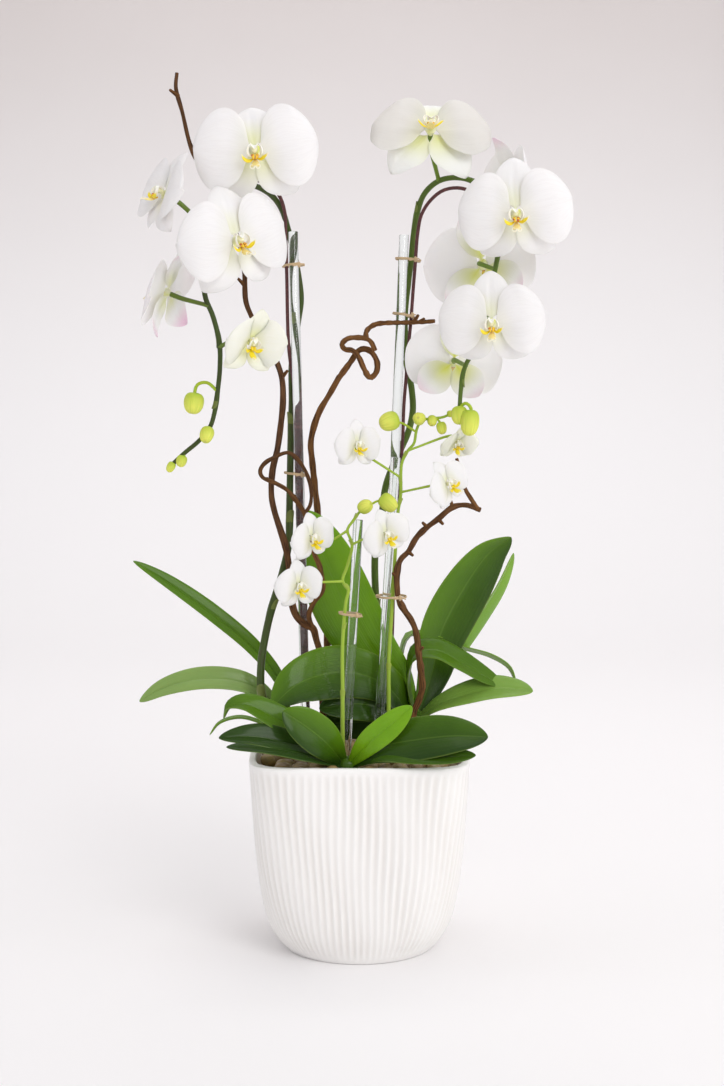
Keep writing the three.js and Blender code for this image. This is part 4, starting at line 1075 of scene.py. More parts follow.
# %% Spike table
SPIKE_ROUTES = {
    "left": [
        (-66, -2, 110), (-66, -3, 165), (-74, -8, 195), (-83, -12, 217), (-84, -8, 244),
        (-81, -4, 265), (-75, 0, 292), (-66, 5, 322), (-61, 10, 345), (-60, 15, 383),
        (-59, 19, 435), (-58, 20.5, 469), (-58, 21, 499), (-54, 21, 529), (-50, 21, 554),
        (-52, 19, 575), (-56, 16.5, 596), (-60.5, 14, 613), (-64, 6, 626), (-70, -8, 636),
        (-78, -22, 642), (-89, -34, 645), (-102, -42, 641), (-116, -46, 624), (-123, -47, 600),
        (-127, -46, 575), (-126, -45, 554), (-120, -42, 538), (-115, -40, 516), (-115, -38, 496),
        (-117, -36, 478), (-120, -35, 459), (-124, -34, 447), (-133, -33, 436), (-145, -32, 426),
        (-156, -31, 416),
    ],
    "right": [
        (44, 50, 110), (43, 46, 165), (38, 40, 205), (25, 42, 231), (17, 45, 266), (14, 45, 302),
        (14, 42, 338), (19, 38, 364), (23, 32, 395), (32, 28, 419), (42, 27, 441), (46, 27, 460),
        (45, 27, 478), (42, 27, 495), (40, 27, 516), (39, 27, 537), (41, 27, 563), (44, 25, 586),
        (46, 20, 609), (49, 12, 628), (55, 3, 642.5), (65, -5, 651), (76, -12, 653.5),
        (90, -22, 651), (103, -32, 642), (113, -40, 625), (116.5, -44, 603), (113, -46, 587),
        (110, -46, 571), (107, -46, 553), (104, -45, 537), (100, -42, 516), (90, -38, 503),
        (86, -36, 493), (84, -35, 478), (83, -34, 463),
    ],
    "smallRight": [
        (25, -14, 110), (25, -11, 192), (25, -11, 214), (25, -12, 249), (27, -12, 283),
        (29, -12, 317), (31, -12, 351), (33, -11, 378), (35, -10, 390), (35, -10, 404),
        (36, -10, 417), (41, -11, 427), (46, -12, 433), (48, -13, 444), (52, -14, 452),
        (61, -14, 454), (70, -14, 455), (77, -14, 458),
    ],
    "smallFront": [
        (-15, -38, 110), (-14, -43, 170), (-14, -44, 202), (-14, -42, 228), (-14, -40, 266),
        (-11, -38, 303), (-9, -38, 312), (-14, -38, 319), (-10, -38, 332), (-6, -38, 350),
        (-10, -39, 362), (-5, -40, 370), (1, -41, 378), (7, -42, 381),
    ],
}

# Radius at the root and at the tip, and joints as shares of the length. tone goes from the
# finish's low colour to its high one.
SPIKES = {
    "left": {
        "node": "spike_left", "slot": "dark_stem", "radii": (3.6, 1.8), "tone": 0.25,
        "bud_stalk": 1.4, "joints": (0.13, 0.22, 0.31, 0.41, 0.51, 0.6, 0.7, 0.79, 0.86, 0.92),
    },
    "right": {
        "node": "spike_right", "slot": "green_stem", "radii": (3.6, 1.8), "tone": 0.45,
        "bud_stalk": 1.4,
        "joints": (0.13, 0.22, 0.31, 0.4, 0.49, 0.58, 0.66, 0.75, 0.83, 0.91, 0.97),
    },
    "smallRight": {
        "node": "spike_small_right", "slot": "pale_stem", "radii": (2.1, 1.1), "tone": 0.6,
        "bud_stalk": 0.95, "joints": (0.35, 0.55, 0.73, 0.78, 0.84, 0.93),
    },
    "smallFront": {
        "node": "spike_small_front", "slot": "pale_stem", "radii": (2.1, 1.1), "tone": 0.7,
        "bud_stalk": 0.95, "joints": (0.4, 0.6, 0.72, 0.86, 0.95),
    },
}

# %% Stems, sheaths and stalks
JOINT_SWELL = 0.32 / 3.6
JOINT_LENGTH = 0.008
SHEATH_LENGTH = 11
# Radius, and how much of the stalk is straight behind the hub, in millimetres.
LARGE_STALK = (1.7, 9)
SMALL_STALK = (0.95, 7)
STALK_TINT = (0.95, 0, 0)


def spike_radius(start, end, joints):
    """Tapers from the root to the tip and swells at each joint."""
    def radius(share, angle):
        swell = sum(np.exp(-((share - n) / JOINT_LENGTH) ** 2) for n in joints)
        return start + (end - start) * share + JOINT_SWELL * swell * start

    return radius


def add_sheath(bm, route, share, stem_radius, seed):
    """A small pointed sheath that hugs the stem above a joint."""
    length = SHEATH_LENGTH * stem_radius / 3 * MM
    lean = 2 * math.pi * vary(seed, 3)

    def surface(s, t):
        centre = route.at(share + s * length / route.length)
        along = route.along(np.full_like(s, share))
        side = unit(np.cross(along, np.array([0.3, 0.8, 0.5])))
        front = np.cross(along, side)
        angle = lean + 1.7 * t * np.sqrt(np.clip(1 - s ** 2.2, 0, 1))
        reach = (stem_radius + 0.25 + 0.9 * s ** 2) * MM
        sideways = (reach * np.cos(angle))[..., None] * side
        return centre + sideways + (reach * np.sin(angle))[..., None] * front

    add_blade(bm, surface, 8, 8, 0.4, (0.9, 0.3, 0))


def add_stalk(bm, name, spike_route):
    """The bloom's own stalk, from the spike to the back of the hub."""
    facts, size, matrix = BLOOMS[name], bloom_size(name), bloom_matrix(name)
    thick, straight = SMALL_STALK if is_small(name) else LARGE_STALK
    foot = Vector(spike_route.at(spike_route.nearest(Vector(facts["leaves_at"]) * MM)))
    behind = [matrix @ (Vector((0, 0, -HUB_DEPTH * size - d)) * MM) for d in (straight, 0)]
    via = [facts["via"]] if "via" in facts else []

    def radius(share, angle):
        return thick * (1 + 0.25 * share + 0.35 * np.exp(-(share / 0.06) ** 2))

    points = [foot / MM, *via, *(p / MM for p in behind)]
    add_tube(bm, Route(points), radius, 10, 2.2, STALK_TINT)


# %% Stem finishes
def stem_finish(name, low, high, blotch):
    """low and high are the colours of the darkest and the brightest stem, tint.x mixes them."""
    made = Finish(name, high, Roughness=0.42, Coat_Weight=0.1, Coat_Roughness=0.25,
                  Specular_IOR_Level=0.25)
    along, around_x, around_y = made.attribute("spot")
    tone, dryness, _ = made.attribute("tint")
    mottle = made.noise(made.vector(along * 60, around_x * 1.5, around_y * 1.5), 1.6, 4.0)
    streak = made.noise(made.vector(along * 6, around_x * 5, around_y * 5), 3.0, 3.0)
    colour = made.mix(tone, low, high)
    colour = made.mix(made.between(mottle, 0.45, 0.75) * blotch, colour, (0.045, 0.02, 0.022))
    colour = made.mix(streak * 0.2, colour, made.mix(tone, high, (0.5, 0.58, 0.12)))
    made.feed("Base Color", made.mix(dryness * 0.8, colour, (0.22, 0.17, 0.08)))
    made.feed("Roughness", 0.34 + streak * 0.2)
    made.relief(streak, 0.25, 0.0005)
    return made


STEM_FINISHES = {
    "dark_stem": stem_finish("dark_stem", (0.01, 0.02, 0.006), (0.09, 0.165, 0.014), 0.8),
    "green_stem": stem_finish("green_stem", (0.02, 0.04, 0.008), (0.12, 0.23, 0.014), 0.45),
    "pale_stem": stem_finish("pale_stem", (0.2, 0.34, 0.03), (0.36, 0.52, 0.045), 0.05),
}
print("stem finishes:", len(STEM_FINISHES))

# %% Spikes
for key, facts in SPIKES.items():
    bm, route = new_skin(), Route(SPIKE_ROUTES[key])
    (start, end), joints, slot = facts["radii"], facts["joints"], facts["slot"]
    add_tube(bm, route, spike_radius(start, end, joints), 14, 3.2, (facts["tone"], 0, 0))
    for seed, joint in enumerate(joints):
        add_sheath(bm, route, joint, start + (end - start) * joint, seed)
    for name in BLOOMS:
        if BLOOMS[name]["spike"] == key:
            add_stalk(bm, name, route)
    finished("stem_of_" + facts["node"], bm, STEM_FINISHES[slot], slot, facts["node"])

# %% [markdown]
# ## Buds
# A bud is an egg with a blunt point, folded from three sepals. Their edges show as shallow
# grooves from tip to stalk, and faint veins run the same way. So it is a shell whose radius dips
# along three lines. Its colour goes from green at the stalk to pale yellow.

# %% Bud table
# Middle, radius, length by width, and the points of its stalk.
BUDS = {
    "left": [
        ((-137, -37, 467), 8.5, 1.05, [(-117, -36, 477), (-126, -36, 484), (-134, -36, 482)]),
        ((-126, -41, 441), 6, 1.2, [(-124, -34, 447)]),
        ((-148, -32, 419), 4.6, 1.1, [(-145, -32, 426)]),
        ((-157, -31, 414), 3.6, 1.3, [(-153, -31, 418)]),
    ],
    "right": [
        ((83, -35, 457), 7, 1.1, [(83, -34, 464)]),
        ((91, -41, 451), 8, 1.35, [(83, -34, 464), (88, -38, 467), (92, -41, 463)]),
    ],
    "smallRight": [
        ((25, -16, 451.5), 8.2, 1.05, [(45, -12, 443), (36, -14, 450), (31, -15, 451)]),
        ((50, -19, 454), 5.6, 1.05, [(51, -14, 451)]),
        ((61, -16, 452), 4.2, 1.1, [(61, -14, 454)]),
        ((69, -17, 446), 4.4, 1.2, [(65, -14, 454), (68, -16, 450)]),
        ((77, -14, 458), 3, 1.2, [(75, -14, 457)]),
    ],
    "smallFront": [
        ((5, -43, 382), 6, 1.05, [(3, -42, 379)]),
        ((24, -44, 385), 7, 1.2, [(5, -42, 381), (14, -43, 386), (20, -44, 387)]),
    ],
}
print("buds:", sum(len(buds) for buds in BUDS.values()))

# %% Bud shape
BUD_ROWS, BUD_COLUMNS = 16, 24
SAG = Vector((0, 0, -0.4))


def add_bud(bm, place, direction, radius, stretch, seed):
    """An egg with three seams round a place in millimetres, its point along a direction."""
    turn = np.linspace(0, 2 * math.pi, BUD_COLUMNS + 1)
    turn[-1] = 0
    s = np.linspace(0, 1, BUD_ROWS + 1)
    profile = np.sin(math.pi * s ** 0.88) ** 0.72
    height = -np.cos(math.pi * s) * radius * stretch
    seams = 1 - 0.09 * np.abs(np.cos(1.5 * turn + seed)) ** 10 * np.sin(math.pi * s)[:, None]
    reach = radius * profile[:, None] * seams
    local = np.stack([reach * np.cos(turn), reach * np.sin(turn),
                      np.broadcast_to(height[:, None], reach.shape)], -1) * MM
    axes = np.array(Vector(direction).to_track_quat("Z", "Y").to_matrix())
    rings = local @ axes.T + np.array(place) * MM
    spots = np.stack(np.broadcast_arrays(s[:, None], np.cos(turn), np.sin(turn)), -1)
    add_shell(bm, rings, spots, (portion(seed, 2), 0, 0))


# %% Buds
bud_skin = Finish("bud_skin", (0.5, 0.62, 0.12), Roughness=0.5, Subsurface_Weight=0.15,
                  Subsurface_Scale=0.003, Specular_IOR_Level=0.3)
bud_along, bud_x, bud_y = bud_skin.attribute("spot")
bud_vein = bud_skin.noise(bud_skin.vector(bud_along * 0.6, bud_x * 5, bud_y * 5), 2.4, 2.0)
bud_ripe = bud_skin.between(bud_along, 0.0, 0.75)
bud_colour = bud_skin.mix(bud_ripe, (0.38, 0.52, 0.03), (0.74, 0.77, 0.13))
bud_streak = bud_skin.between(bud_vein, 0.5, 0.62) * 0.5
bud_colour = bud_skin.mix(bud_streak, bud_colour, (0.48, 0.58, 0.06))
bud_tip = bud_skin.between(bud_along, 0.93, 1.0) * 0.6
bud_skin.feed("Base Color", bud_skin.mix(bud_tip, bud_colour, (0.35, 0.3, 0.1)))
bud_skin.relief(bud_vein, 0.3, 0.0005)

for key, buds in BUDS.items():
    bm, route, facts = new_skin(), Route(SPIKE_ROUTES[key]), SPIKES[key]
    for seed, (place, radius, stretch, stalk) in enumerate(buds):
        foot = route.at(route.nearest(Vector(stalk[0]) * MM)) / MM
        stalk = [tuple(foot), *stalk[1:], place]
        add_tube(bm, Route(stalk), steady(facts["bud_stalk"]), 10, 2.0)
        droop = (Vector(place) - Vector(stalk[-2])).normalized() + SAG
        add_bud(bm, place, droop, radius, stretch, seed)
    finished("buds_of_" + facts["node"], bm, bud_skin, facts["slot"], facts["node"])

# %% [markdown]
# ## Leaves
# The leaves are thick straps that fold a little along a sunken midrib and bend over with their own
# weight. The route is the midrib, and two directions say how the blade turns on its way to the
# tip. Young leaves are a bright yellow-green and old ones nearly bottle green, so each has a tone.
# The tone also carries painted shade on the leaves that lie in shadow, and a painted sheen above
# 1.

# %% Leaf table
CROWNS = {
    "leaves_right_plant": (48, 22, 194),
    "leaves_left_plant": (-62, 26, 184),
    "leaves_front_plant": (-10, -56, 170),
}
# The midrib, which way the blade is wide at its root and at its end, half its width, the fold in
# degrees, how bright it is, and how much brighter one edge of it is than the middle. The
# brightness is the leaf's age with painted shade on leaves that lie in shadow, and above 1 a
# painted sheen. The brighter edge is painted light from one side.
LEAVES = {
    "leaves_right_plant": [
        {
            "route": [
                (46, 24, 194), (30, 31, 226), (8, 33, 253), (-12, 31, 288), (-30, 27, 330),
                (-41, 25, 358), (-48, 22, 374),
            ],
            "root": (0.87, 0.1, 0.49), "end": (0.9, 0.1, 0.4), "half_width": 28, "fold": 8,
            "tone": 0.85, "lean": 0.35,
        },
        {
            "route": [
                (52, 26, 194), (64, 36, 231), (71, 42, 263), (89, 46, 299), (114, 46, 335),
                (133, 42, 349),
            ],
            "root": (0.82, 0.25, -0.57), "end": (0.75, 0.5, -0.5), "half_width": 24, "fold": 20,
            "tone": 0.26, "lean": -0.2,
        },
        {
            "route": [
                (54, 28, 192), (70, 55, 224), (86, 64, 247), (106, 70, 275), (124, 74, 302),
                (138, 76, 332),
            ],
            "root": (0.35, 0.9, -0.25), "end": (0.35, 0.9, -0.2), "half_width": 18, "fold": 18,
            "tone": 1.25,
        },
        {
            "route": [
                (50, 28, 195), (37, 41, 236), (44, 47, 261), (64, 52, 260), (92, 60, 248),
                (117, 64, 240), (133, 64, 230), (140, 62, 216),
            ],
            "root": (0, -1, 0), "end": (0.1, -1, 0.2), "half_width": 13, "fold": 14, "tone": 1.2,
        },
        {
            "route": [
                (48, 19, 195), (43, 14, 232), (49, 11, 251), (66, 7, 254), (86, 2, 245),
                (105, -1, 234), (124, -4, 224),
            ],
            "root": (0, -0.88, -0.47), "end": (0, -0.75, -0.65), "half_width": 14, "fold": 14,
            "tone": 0.35,
        },
        {
            "route": [
                (52, 16, 194), (69, 1, 208), (91, -5, 217), (114, -9, 223), (133, -11, 223.5),
                (148, -13, 222),
            ],
            "root": (0, -0.9, -0.4), "end": (0.1, -0.8, -0.6), "half_width": 16, "fold": 14,
            "tone": 1.4,
        },
        {
            "route": [
                (43, 14, 192), (32, 8, 214), (16, 5, 228), (-5, -2, 236), (-29, -20, 238),
                (-53, -35, 231), (-73, -43, 214),
            ],
            "root": (-0.2, 0.05, 0.97), "end": (-0.3, 0.6, 0.7), "half_width": 23, "fold": 8,
            "tone": 0.22, "lean": 0.2,
        },
        {
            "route": [
                (42, 15, 188), (28, 8, 199), (12, 5, 206), (-8, -8, 210), (-34, -22, 208),
            ],
            "root": (-0.2, 0.05, 0.97), "end": (-0.2, 0.65, 0.7), "half_width": 15, "fold": 8,
            "tone": 0.05,
        },
        {
            "route": [
                (43, 28, 188), (30, 27, 188), (10, 31, 187), (-12, 34, 186), (-36, 33, 184),
            ],
            "root": (0, 0.1, 0.99), "end": (0, 0.1, 0.99), "half_width": 15, "fold": 4,
            "tone": 0.03,
        },
    ],
    "leaves_left_plant": [
        {
            "route": [
                (-62, 28, 184), (-70, 40, 220), (-93, 50, 248), (-128, 56, 277), (-168, 56, 306),
                (-200, 52, 327),
            ],
            "root": (0.5, 0.6, 0.6), "end": (0.3, 0.7, 0.6), "half_width": 9, "fold": 22,
            "tone": 0.5,
        },
        {
            "route": [
                (-62, 24, 184), (-76, 14, 208), (-98, 8, 225), (-133, 4, 230), (-167, 0, 223),
                (-189, -2, 211),
            ],
            "root": (0.3, 0.6, 0.7), "end": (-0.3, 0.5, 0.8), "half_width": 11, "fold": 14,
            "tone": 1.55, "lean": 0.2,
        },
    ],
    "leaves_front_plant": [
        {
            "route": [
                (-8, -57, 169), (18, -72, 186), (45, -84, 194), (75, -92, 199), (104, -96, 199),
            ],
            "root": (0, -0.6, -0.8), "end": (0.1, -0.7, -0.7), "half_width": 20, "fold": 10,
            "tone": 0.1, "lean": -0.12,
        },
        {
            "route": [
                (-6, -58, 168), (20, -77, 182), (47, -92, 184), (73, -98, 184), (94, -100, 185),
            ],
            "root": (0, -0.8, -0.6), "end": (0.1, -0.8, -0.6), "half_width": 11, "fold": 8,
            "tone": 0.14,
        },
        {
            "route": [
                (-8, -61, 169), (8, -74, 190), (25, -78, 205), (43, -78, 221),
            ],
            "root": (0.78, -0.2, -0.62), "end": (0.78, -0.2, -0.62), "half_width": 11, "fold": 16,
            "tone": 1.04,
        },
        {
            "route": [
                (-13, -59, 170), (-28, -76, 191), (-44, -85, 206), (-62, -88, 219),
            ],
            "root": (0.6, 0.3, 0.75), "end": (0.5, 0.3, 0.8), "half_width": 16, "fold": 14,
            "tone": 0.25, "lean": 0.25,
        },
        {
            "route": [
                (-13, -55, 169), (-41, -63, 191), (-69, -68, 209), (-94, -70, 221),
                (-106, -72, 219), (-111, -75, 210),
            ],
            "root": (0.4, 0.5, 0.75), "end": (0.1, 0.9, 0.4), "half_width": 12, "fold": 22,
            "tone": 0.38,
        },
        {
            "route": [
                (-14, -52, 169), (-50, -42, 184), (-80, -40, 199), (-100, -42, 205),
                (-117, -46, 201), (-125, -48, 191),
            ],
            "root": (0, 1, 0), "end": (0, 1, 0), "half_width": 7, "fold": 8, "tone": 0.7,
        },
        {
            "route": [
                (-13, -58, 169), (-46, -74, 184), (-79, -84, 196), (-114, -90, 197),
            ],
            "root": (0.1, 0.7, 0.7), "end": (0, 0.8, 0.6), "half_width": 12, "fold": 24,
            "tone": 0.04,
        },
        {
            "route": [
                (-12, -59, 167), (-44, -80, 181), (-76, -94, 190), (-107, -102, 192),
            ],
            "root": (0, 0.85, 0.5), "end": (0, 0.9, 0.4), "half_width": 9, "fold": 8,
            "tone": 0.02,
        },
    ],
}
print("leaves:", sum(len(blades) for blades in LEAVES.values()))

# %% Leaf shape
LEAF_THICKNESS = 1.8
LEAF_CLAW, LEAF_WIDEST = 0.24, 0.56
CROWN_FOOT = 110
CROWN_RADII = (6, 9)


def leaf_outline(s):
    """Its width along the leaf: a narrow claw, then broad, then a round tip."""
    rising = LEAF_CLAW + (1 - LEAF_CLAW) * np.sin(math.pi / 2 * np.clip(s / LEAF_WIDEST, 0, 1))
    past = np.clip((s - LEAF_WIDEST) / (1 - LEAF_WIDEST), 0, 1)
    return np.where(s < LEAF_WIDEST, rising, np.clip(1 - past ** 2.3, 0, 1) ** 0.62)


def leaf_surface(facts, seed):
    """Folded along the midrib, grooved there, and rippled towards both edges."""
    route = Route(facts["route"])
    root, end = np.array(facts["root"], float), np.array(facts["end"], float)
    slope = math.tan(math.radians(facts["fold"]))

    def surface(s, t):
        s, t = np.broadcast_arrays(s, t)
        centre, along = route.at(s), route.along(s)
        across = root + (end - root) * (s * s)[..., None]
        across = unit(across - along * (across * along).sum(-1, keepdims=True))
        upper = np.cross(across, along)
        reach = facts["half_width"] * leaf_outline(s) * MM
        fold = slope * (np.sqrt(t * t + 0.01) - 0.1) - 0.05 * t ** 4
        groove = -0.5 * MM * np.exp(-(t / 0.05) ** 2) * np.minimum(1, 8 * (1 - s))
        ripple = 0.02 * t * t * np.sin(7 * s + 2.4 * seed + 1.5 * t)
        height = reach * (fold + ripple) + groove
        return centre + across * (reach * t)[..., None] + upper * height[..., None]

    return surface


# %% [markdown]
# A leaf is painted darker where it leaves the crown, as painted shade, and one edge is painted
# lighter than the other, as painted light from one side. It is paler along the midrib and the
# rim, partly its own colour and partly painted sheen, and the palest tones are a painted grey
# sheen. Its back is dull and pale. Fine veins run its whole length, and slow clouds keep the
# gloss from lying flat.

# %% Leaf finish
leaf = Finish("leaf_skin", (0.06, 0.16, 0.02), Coat_Weight=0.24, Coat_Roughness=0.15,
              Specular_IOR_Level=0.12, Subsurface_Weight=0.04, Subsurface_Scale=0.002)
leaf_s, leaf_t, leaf_side = leaf.attribute("spot")
leaf_age_and_painted_light, leaf_draw, leaf_lit_edge = leaf.attribute("tint")
# Painted light: the lean makes one edge of a leaf lighter and the other darker, and the first
# third from the crown is painted darker as painted shade.
leaf_tone_with_painted_light = leaf_age_and_painted_light + leaf_lit_edge * leaf_t - (1 - leaf.between(leaf_s, 0.0, 0.3)) * 0.2
leaf_vein = leaf.noise(leaf.vector(leaf_t * 26, leaf_s * 1.5, leaf_draw * 9), 1.0, 2.0)
leaf_cloud = leaf.noise(leaf.place(), 24.0, 3.0)
leaf_under = leaf.between(0 - leaf_side, -0.2, 0.2)
leaf_rib = 1 - leaf.between(abs(leaf_t), 0.0, 0.05)
leaf_rim = leaf.between(abs(leaf_t), 0.93, 1.0)
leaf_dark = leaf.mix(leaf_cloud, (0.004, 0.02, 0.001), (0.016, 0.052, 0.002))
leaf_bright = leaf.mix(leaf_cloud, (0.1, 0.27, 0.003), (0.24, 0.48, 0.008))
leaf_colour = leaf.mix(leaf_tone_with_painted_light, leaf_dark, leaf_bright)
# Painted sheen: tones above 1.05 turn a leaf pale grey-green.
leaf_painted_sheen = leaf.between(leaf_age_and_painted_light, 1.05, 2.0)
leaf_colour = leaf.mix(leaf_painted_sheen, leaf_colour, (0.31, 0.36, 0.19))
leaf_colour = leaf.mix(leaf_vein * (0.08 + leaf_age_and_painted_light * 0.2), leaf_colour, (0.12, 0.23, 0.02))
# The paler midrib and rim are partly the leaf's own colour and partly painted sheen.
leaf_colour = leaf.mix(leaf_rib * 0.2, leaf_colour, (0.2, 0.34, 0.05))
leaf_colour = leaf.mix(leaf_rim * 0.28, leaf_colour, (0.24, 0.34, 0.05))
leaf.feed("Base Color", leaf.mix(leaf_under * 0.5, leaf_colour, (0.15, 0.24, 0.05)))
leaf.feed("Roughness", 0.25 + leaf_cloud * 0.2 + leaf_under * 0.2)
leaf.relief(leaf_vein + leaf_cloud * 0.6, 0.36, 0.0015)

# %% Leaves
for node, blades in LEAVES.items():
    bm = new_skin()
    x, y, top = CROWNS[node]
    crown = Route([(x, y, CROWN_FOOT), (x, y, top)])
    add_tube(bm, crown, steady(*CROWN_RADII), 16, 8, (0.4, 0.5, 0), 0.6)
    for seed, facts in enumerate(blades):
        tint = (facts["tone"], portion(seed, x), facts.get("lean", 0))
        add_blade(bm, leaf_surface(facts, seed), 44, 22, LEAF_THICKNESS, tint)
    finished(node.replace("leaves", "strap_leaves"), bm, leaf, "leaf", node)

# %% [markdown]
# ## Petals
# A moth orchid has two broad round petals in front of three narrower sepals. Each is a thin
# blade that arches away from the hub and curls back at its rim, with a shallow crease and a
# light ruffle, so no two are alike. Their outline is a power of a sine: low powers give the full,
# nearly round petal, and higher ones the oval sepal.

# %% Petal shapes
# In shares of the bloom's width. lift is in degrees, and root is how far back a blade starts.
BLADES = {
    "petal": {
        "length": 0.47, "half_width": 0.33, "peak": 1.02, "fullness": 0.56, "lift": 6,
        "root": -0.01,
    },
    "top": {
        "length": 0.46, "half_width": 0.17, "peak": 1.1, "fullness": 0.66, "lift": -4,
        "root": -0.024,
    },
    "right": {
        "length": 0.45, "half_width": 0.175, "peak": 0.98, "fullness": 0.68, "lift": -6,
        "root": -0.038,
    },
    "left": {
        "length": 0.45, "half_width": 0.175, "peak": 0.98, "fullness": 0.68, "lift": -6,
        "root": -0.052,
    },
}
BLADE_ANGLES = {"petal_right": 81, "petal_left": -81, "top": 0, "right": 137, "left": -137}
PETAL_ROOT = 0.03
PETAL_THICKNESS = 0.8
CLAW_LENGTH = 0.16
# In degrees: how far a closed blade stands up, how far the tip curls back, how far it arches.
CLOSED_LIFT = 55
CURL, ARCH = 14, 10
# In shares of the width: waves along the rim, the middle crease, how far the lower half of a
# petal hangs back, and how much further out it reaches than the upper half.
RUFFLE = 0.011
CREASE = 0.011
DROOP = 0.03
SHOULDER = 0.022
FACING = np.array([0.0, 0.0, 1.0])


def petal_surface(kind, angle, size, share, openness, seed, matrix):
    """A petal or sepal at an angle round the hub. share makes it longer or shorter."""
    part = BLADES[kind]
    turn = math.radians(angle + 3 * vary(seed, angle))
    lift = math.radians(part["lift"] + (1 - openness) * CLOSED_LIFT)
    along = np.array([math.sin(turn), math.cos(turn), 0])
    across = np.array([math.cos(turn), -math.sin(turn), 0])
    length = part["length"] * share * size * (1 + 0.03 * vary(seed, angle + 1))
    side = np.sign(angle) if kind == "petal" else 0
    axes, place = np.array(matrix.to_3x3()), np.array(matrix.translation)

    def surface(s, t):
        s, t = np.broadcast_arrays(s, t)
        claw = 0.22 + 0.78 * eased(s / CLAW_LENGTH)
        arc = np.sin(math.pi * np.clip(s, 0, 1))
        full = np.clip(np.sin(math.pi * np.clip(s, 0, 1) ** part["peak"]), 0, 1)
        wide = part["half_width"] * size * full ** part["fullness"] * claw * t
        bend = lift - math.radians(CURL) * s * s + math.radians(ARCH) * s * (1 - s)
        wave = (np.sin(9 * s + 5 * vary(seed, angle + 2) + 1.5 * t)
                + 0.6 * np.sin(17 * s - 3 * t + seed))
        low = np.clip(t * side, 0, 1)
        depth = (length * s * np.sin(bend) - 0.02 * size * t * t * s - DROOP * size * low * s
                 + RUFFLE * size * wave * s * t * t * (1 - s ** 6)
                 - CREASE * size * np.exp(-(t / 0.09) ** 2) * arc)
        forth = (PETAL_ROOT * size + length * s * np.cos(bend)
                 + SHOULDER * size * side * t * np.abs(t) * arc)
        local = (forth[..., None] * along + wide[..., None] * across
                 + (depth + part["root"] * size)[..., None] * FACING)
        return local * MM @ axes.T + place

    return surface


print("blades of a bloom:", len(BLADE_ANGLES))

# %% [markdown]
# The white of a petal is never plain. Fine veins run from the claw to the rim, the claw is
# washed with yellow-green, and the tips of older sepals blush pink, most of all on their backs.
# How strong the wash and the blush are is kept for each blade, because the blooms differ.

# %% Petal finish
def petal_finish(name, body, shade, sepal):
    """body is the white, shade its veins and clouds, sepal the white of what is washed green."""
    made = Finish(name, body, Roughness=0.52, Subsurface_Weight=0.5, Subsurface_Scale=0.006,
                  Subsurface_Radius=(1, 0.9, 0.8), Specular_IOR_Level=0.3)
    s, t, side = made.attribute("spot")
    green, pink, draw = made.attribute("tint")
    vein = made.noise(made.vector(t * 17, s * 1.6, draw * 11), 1.0, 2.0)
    fine_vein = made.between(abs(vein - 0.5), 0.0, 0.07)
    cloud = made.noise(made.place(), 40.0, 2.0)
    colour = made.mix((1 - fine_vein) * 0.2, body, shade)
    colour = made.mix(cloud * 0.16, colour, shade)
    colour = made.mix(green, colour, sepal)
    back = made.between(0 - side, -0.2, 0.2)
    # Painted light: the back of every blade is painted nearly white, for light that shines through
    # it.
    colour = made.mix(back * 0.9, colour, (0.99, 0.97, 0.96))
    wash = (1 - made.between(s, 0.1, 0.36 + green * 0.5)) * (1 - abs(t) * 0.5) * green
    colour = made.mix(wash * (0.7 + back * 0.3), colour, (0.68, 0.74, 0.07))
    blush = made.between(s, 0.6, 1.05) * pink * (0.55 + back * 0.45)
    made.feed("Base Color", made.mix(blush, colour, (0.8, 0.42, 0.62)))
    made.feed("Roughness", 0.46 + cloud * 0.14)
    made.relief((1 - fine_vein) * 0.5 + vein, 0.14, 0.0007)
    return made


WHITE_TONES = (0.88, 0.85, 0.84), (0.76, 0.71, 0.7), (0.88, 0.86, 0.84)
# Painted shade: a darker copy of the white for blooms seen against the light. Its sepal tone stays
# light.
PAINTED_SHADE_TONES = (0.6, 0.56, 0.52), (0.52, 0.47, 0.44), (0.9, 0.9, 0.84)
CREAM_TONES = (0.9, 0.89, 0.8), (0.84, 0.84, 0.6), (0.88, 0.88, 0.66)

white_petal = petal_finish("white_petal", *WHITE_TONES)
painted_shade_petal = petal_finish("painted_shade_petal", *PAINTED_SHADE_TONES)
cream_petal = petal_finish("cream_petal", *CREAM_TONES)
print("petal finishes are ready")

# %% Blooms
# Wash and blush of the petals and of the sepals, from 0 to 1.
BLOOM_TINTS = {
    "bloom_1": ((0.16, 0.0), (0.8, 0.03)),
    "bloom_3": ((0.1, 0.02), (0.3, 0.1)),
    "bloom_4": ((0.3, 0.0), (0.75, 0.0)),
    "bloom_5": ((0.2, 0.2), (0.6, 1.0)),
    # In bloom_6 the sepal wash of 1 also keeps its sepals out of the painted shade of its finish.
    "bloom_6": ((0.2, 0.0), (1.0, 0.0)),
    "bloom_8": ((0.2, 0.1), (0.9, 0.75)),
    "bloom_10": ((0.2, 0.06), (1.0, 0.6)),
    "bloom_11": ((0.1, 0.1), (0.4, 0.8)),
}
# Blooms that are seen against the light: their petals get a darker finish, as painted shade.
SHADED_BLOOMS = ("bloom_6",)
PLAIN_TINTS = ((0.14, 0.0), (0.55, 0.04))
SMALL_TINTS = ((0.4, 0.0), (0.6, 0.0))


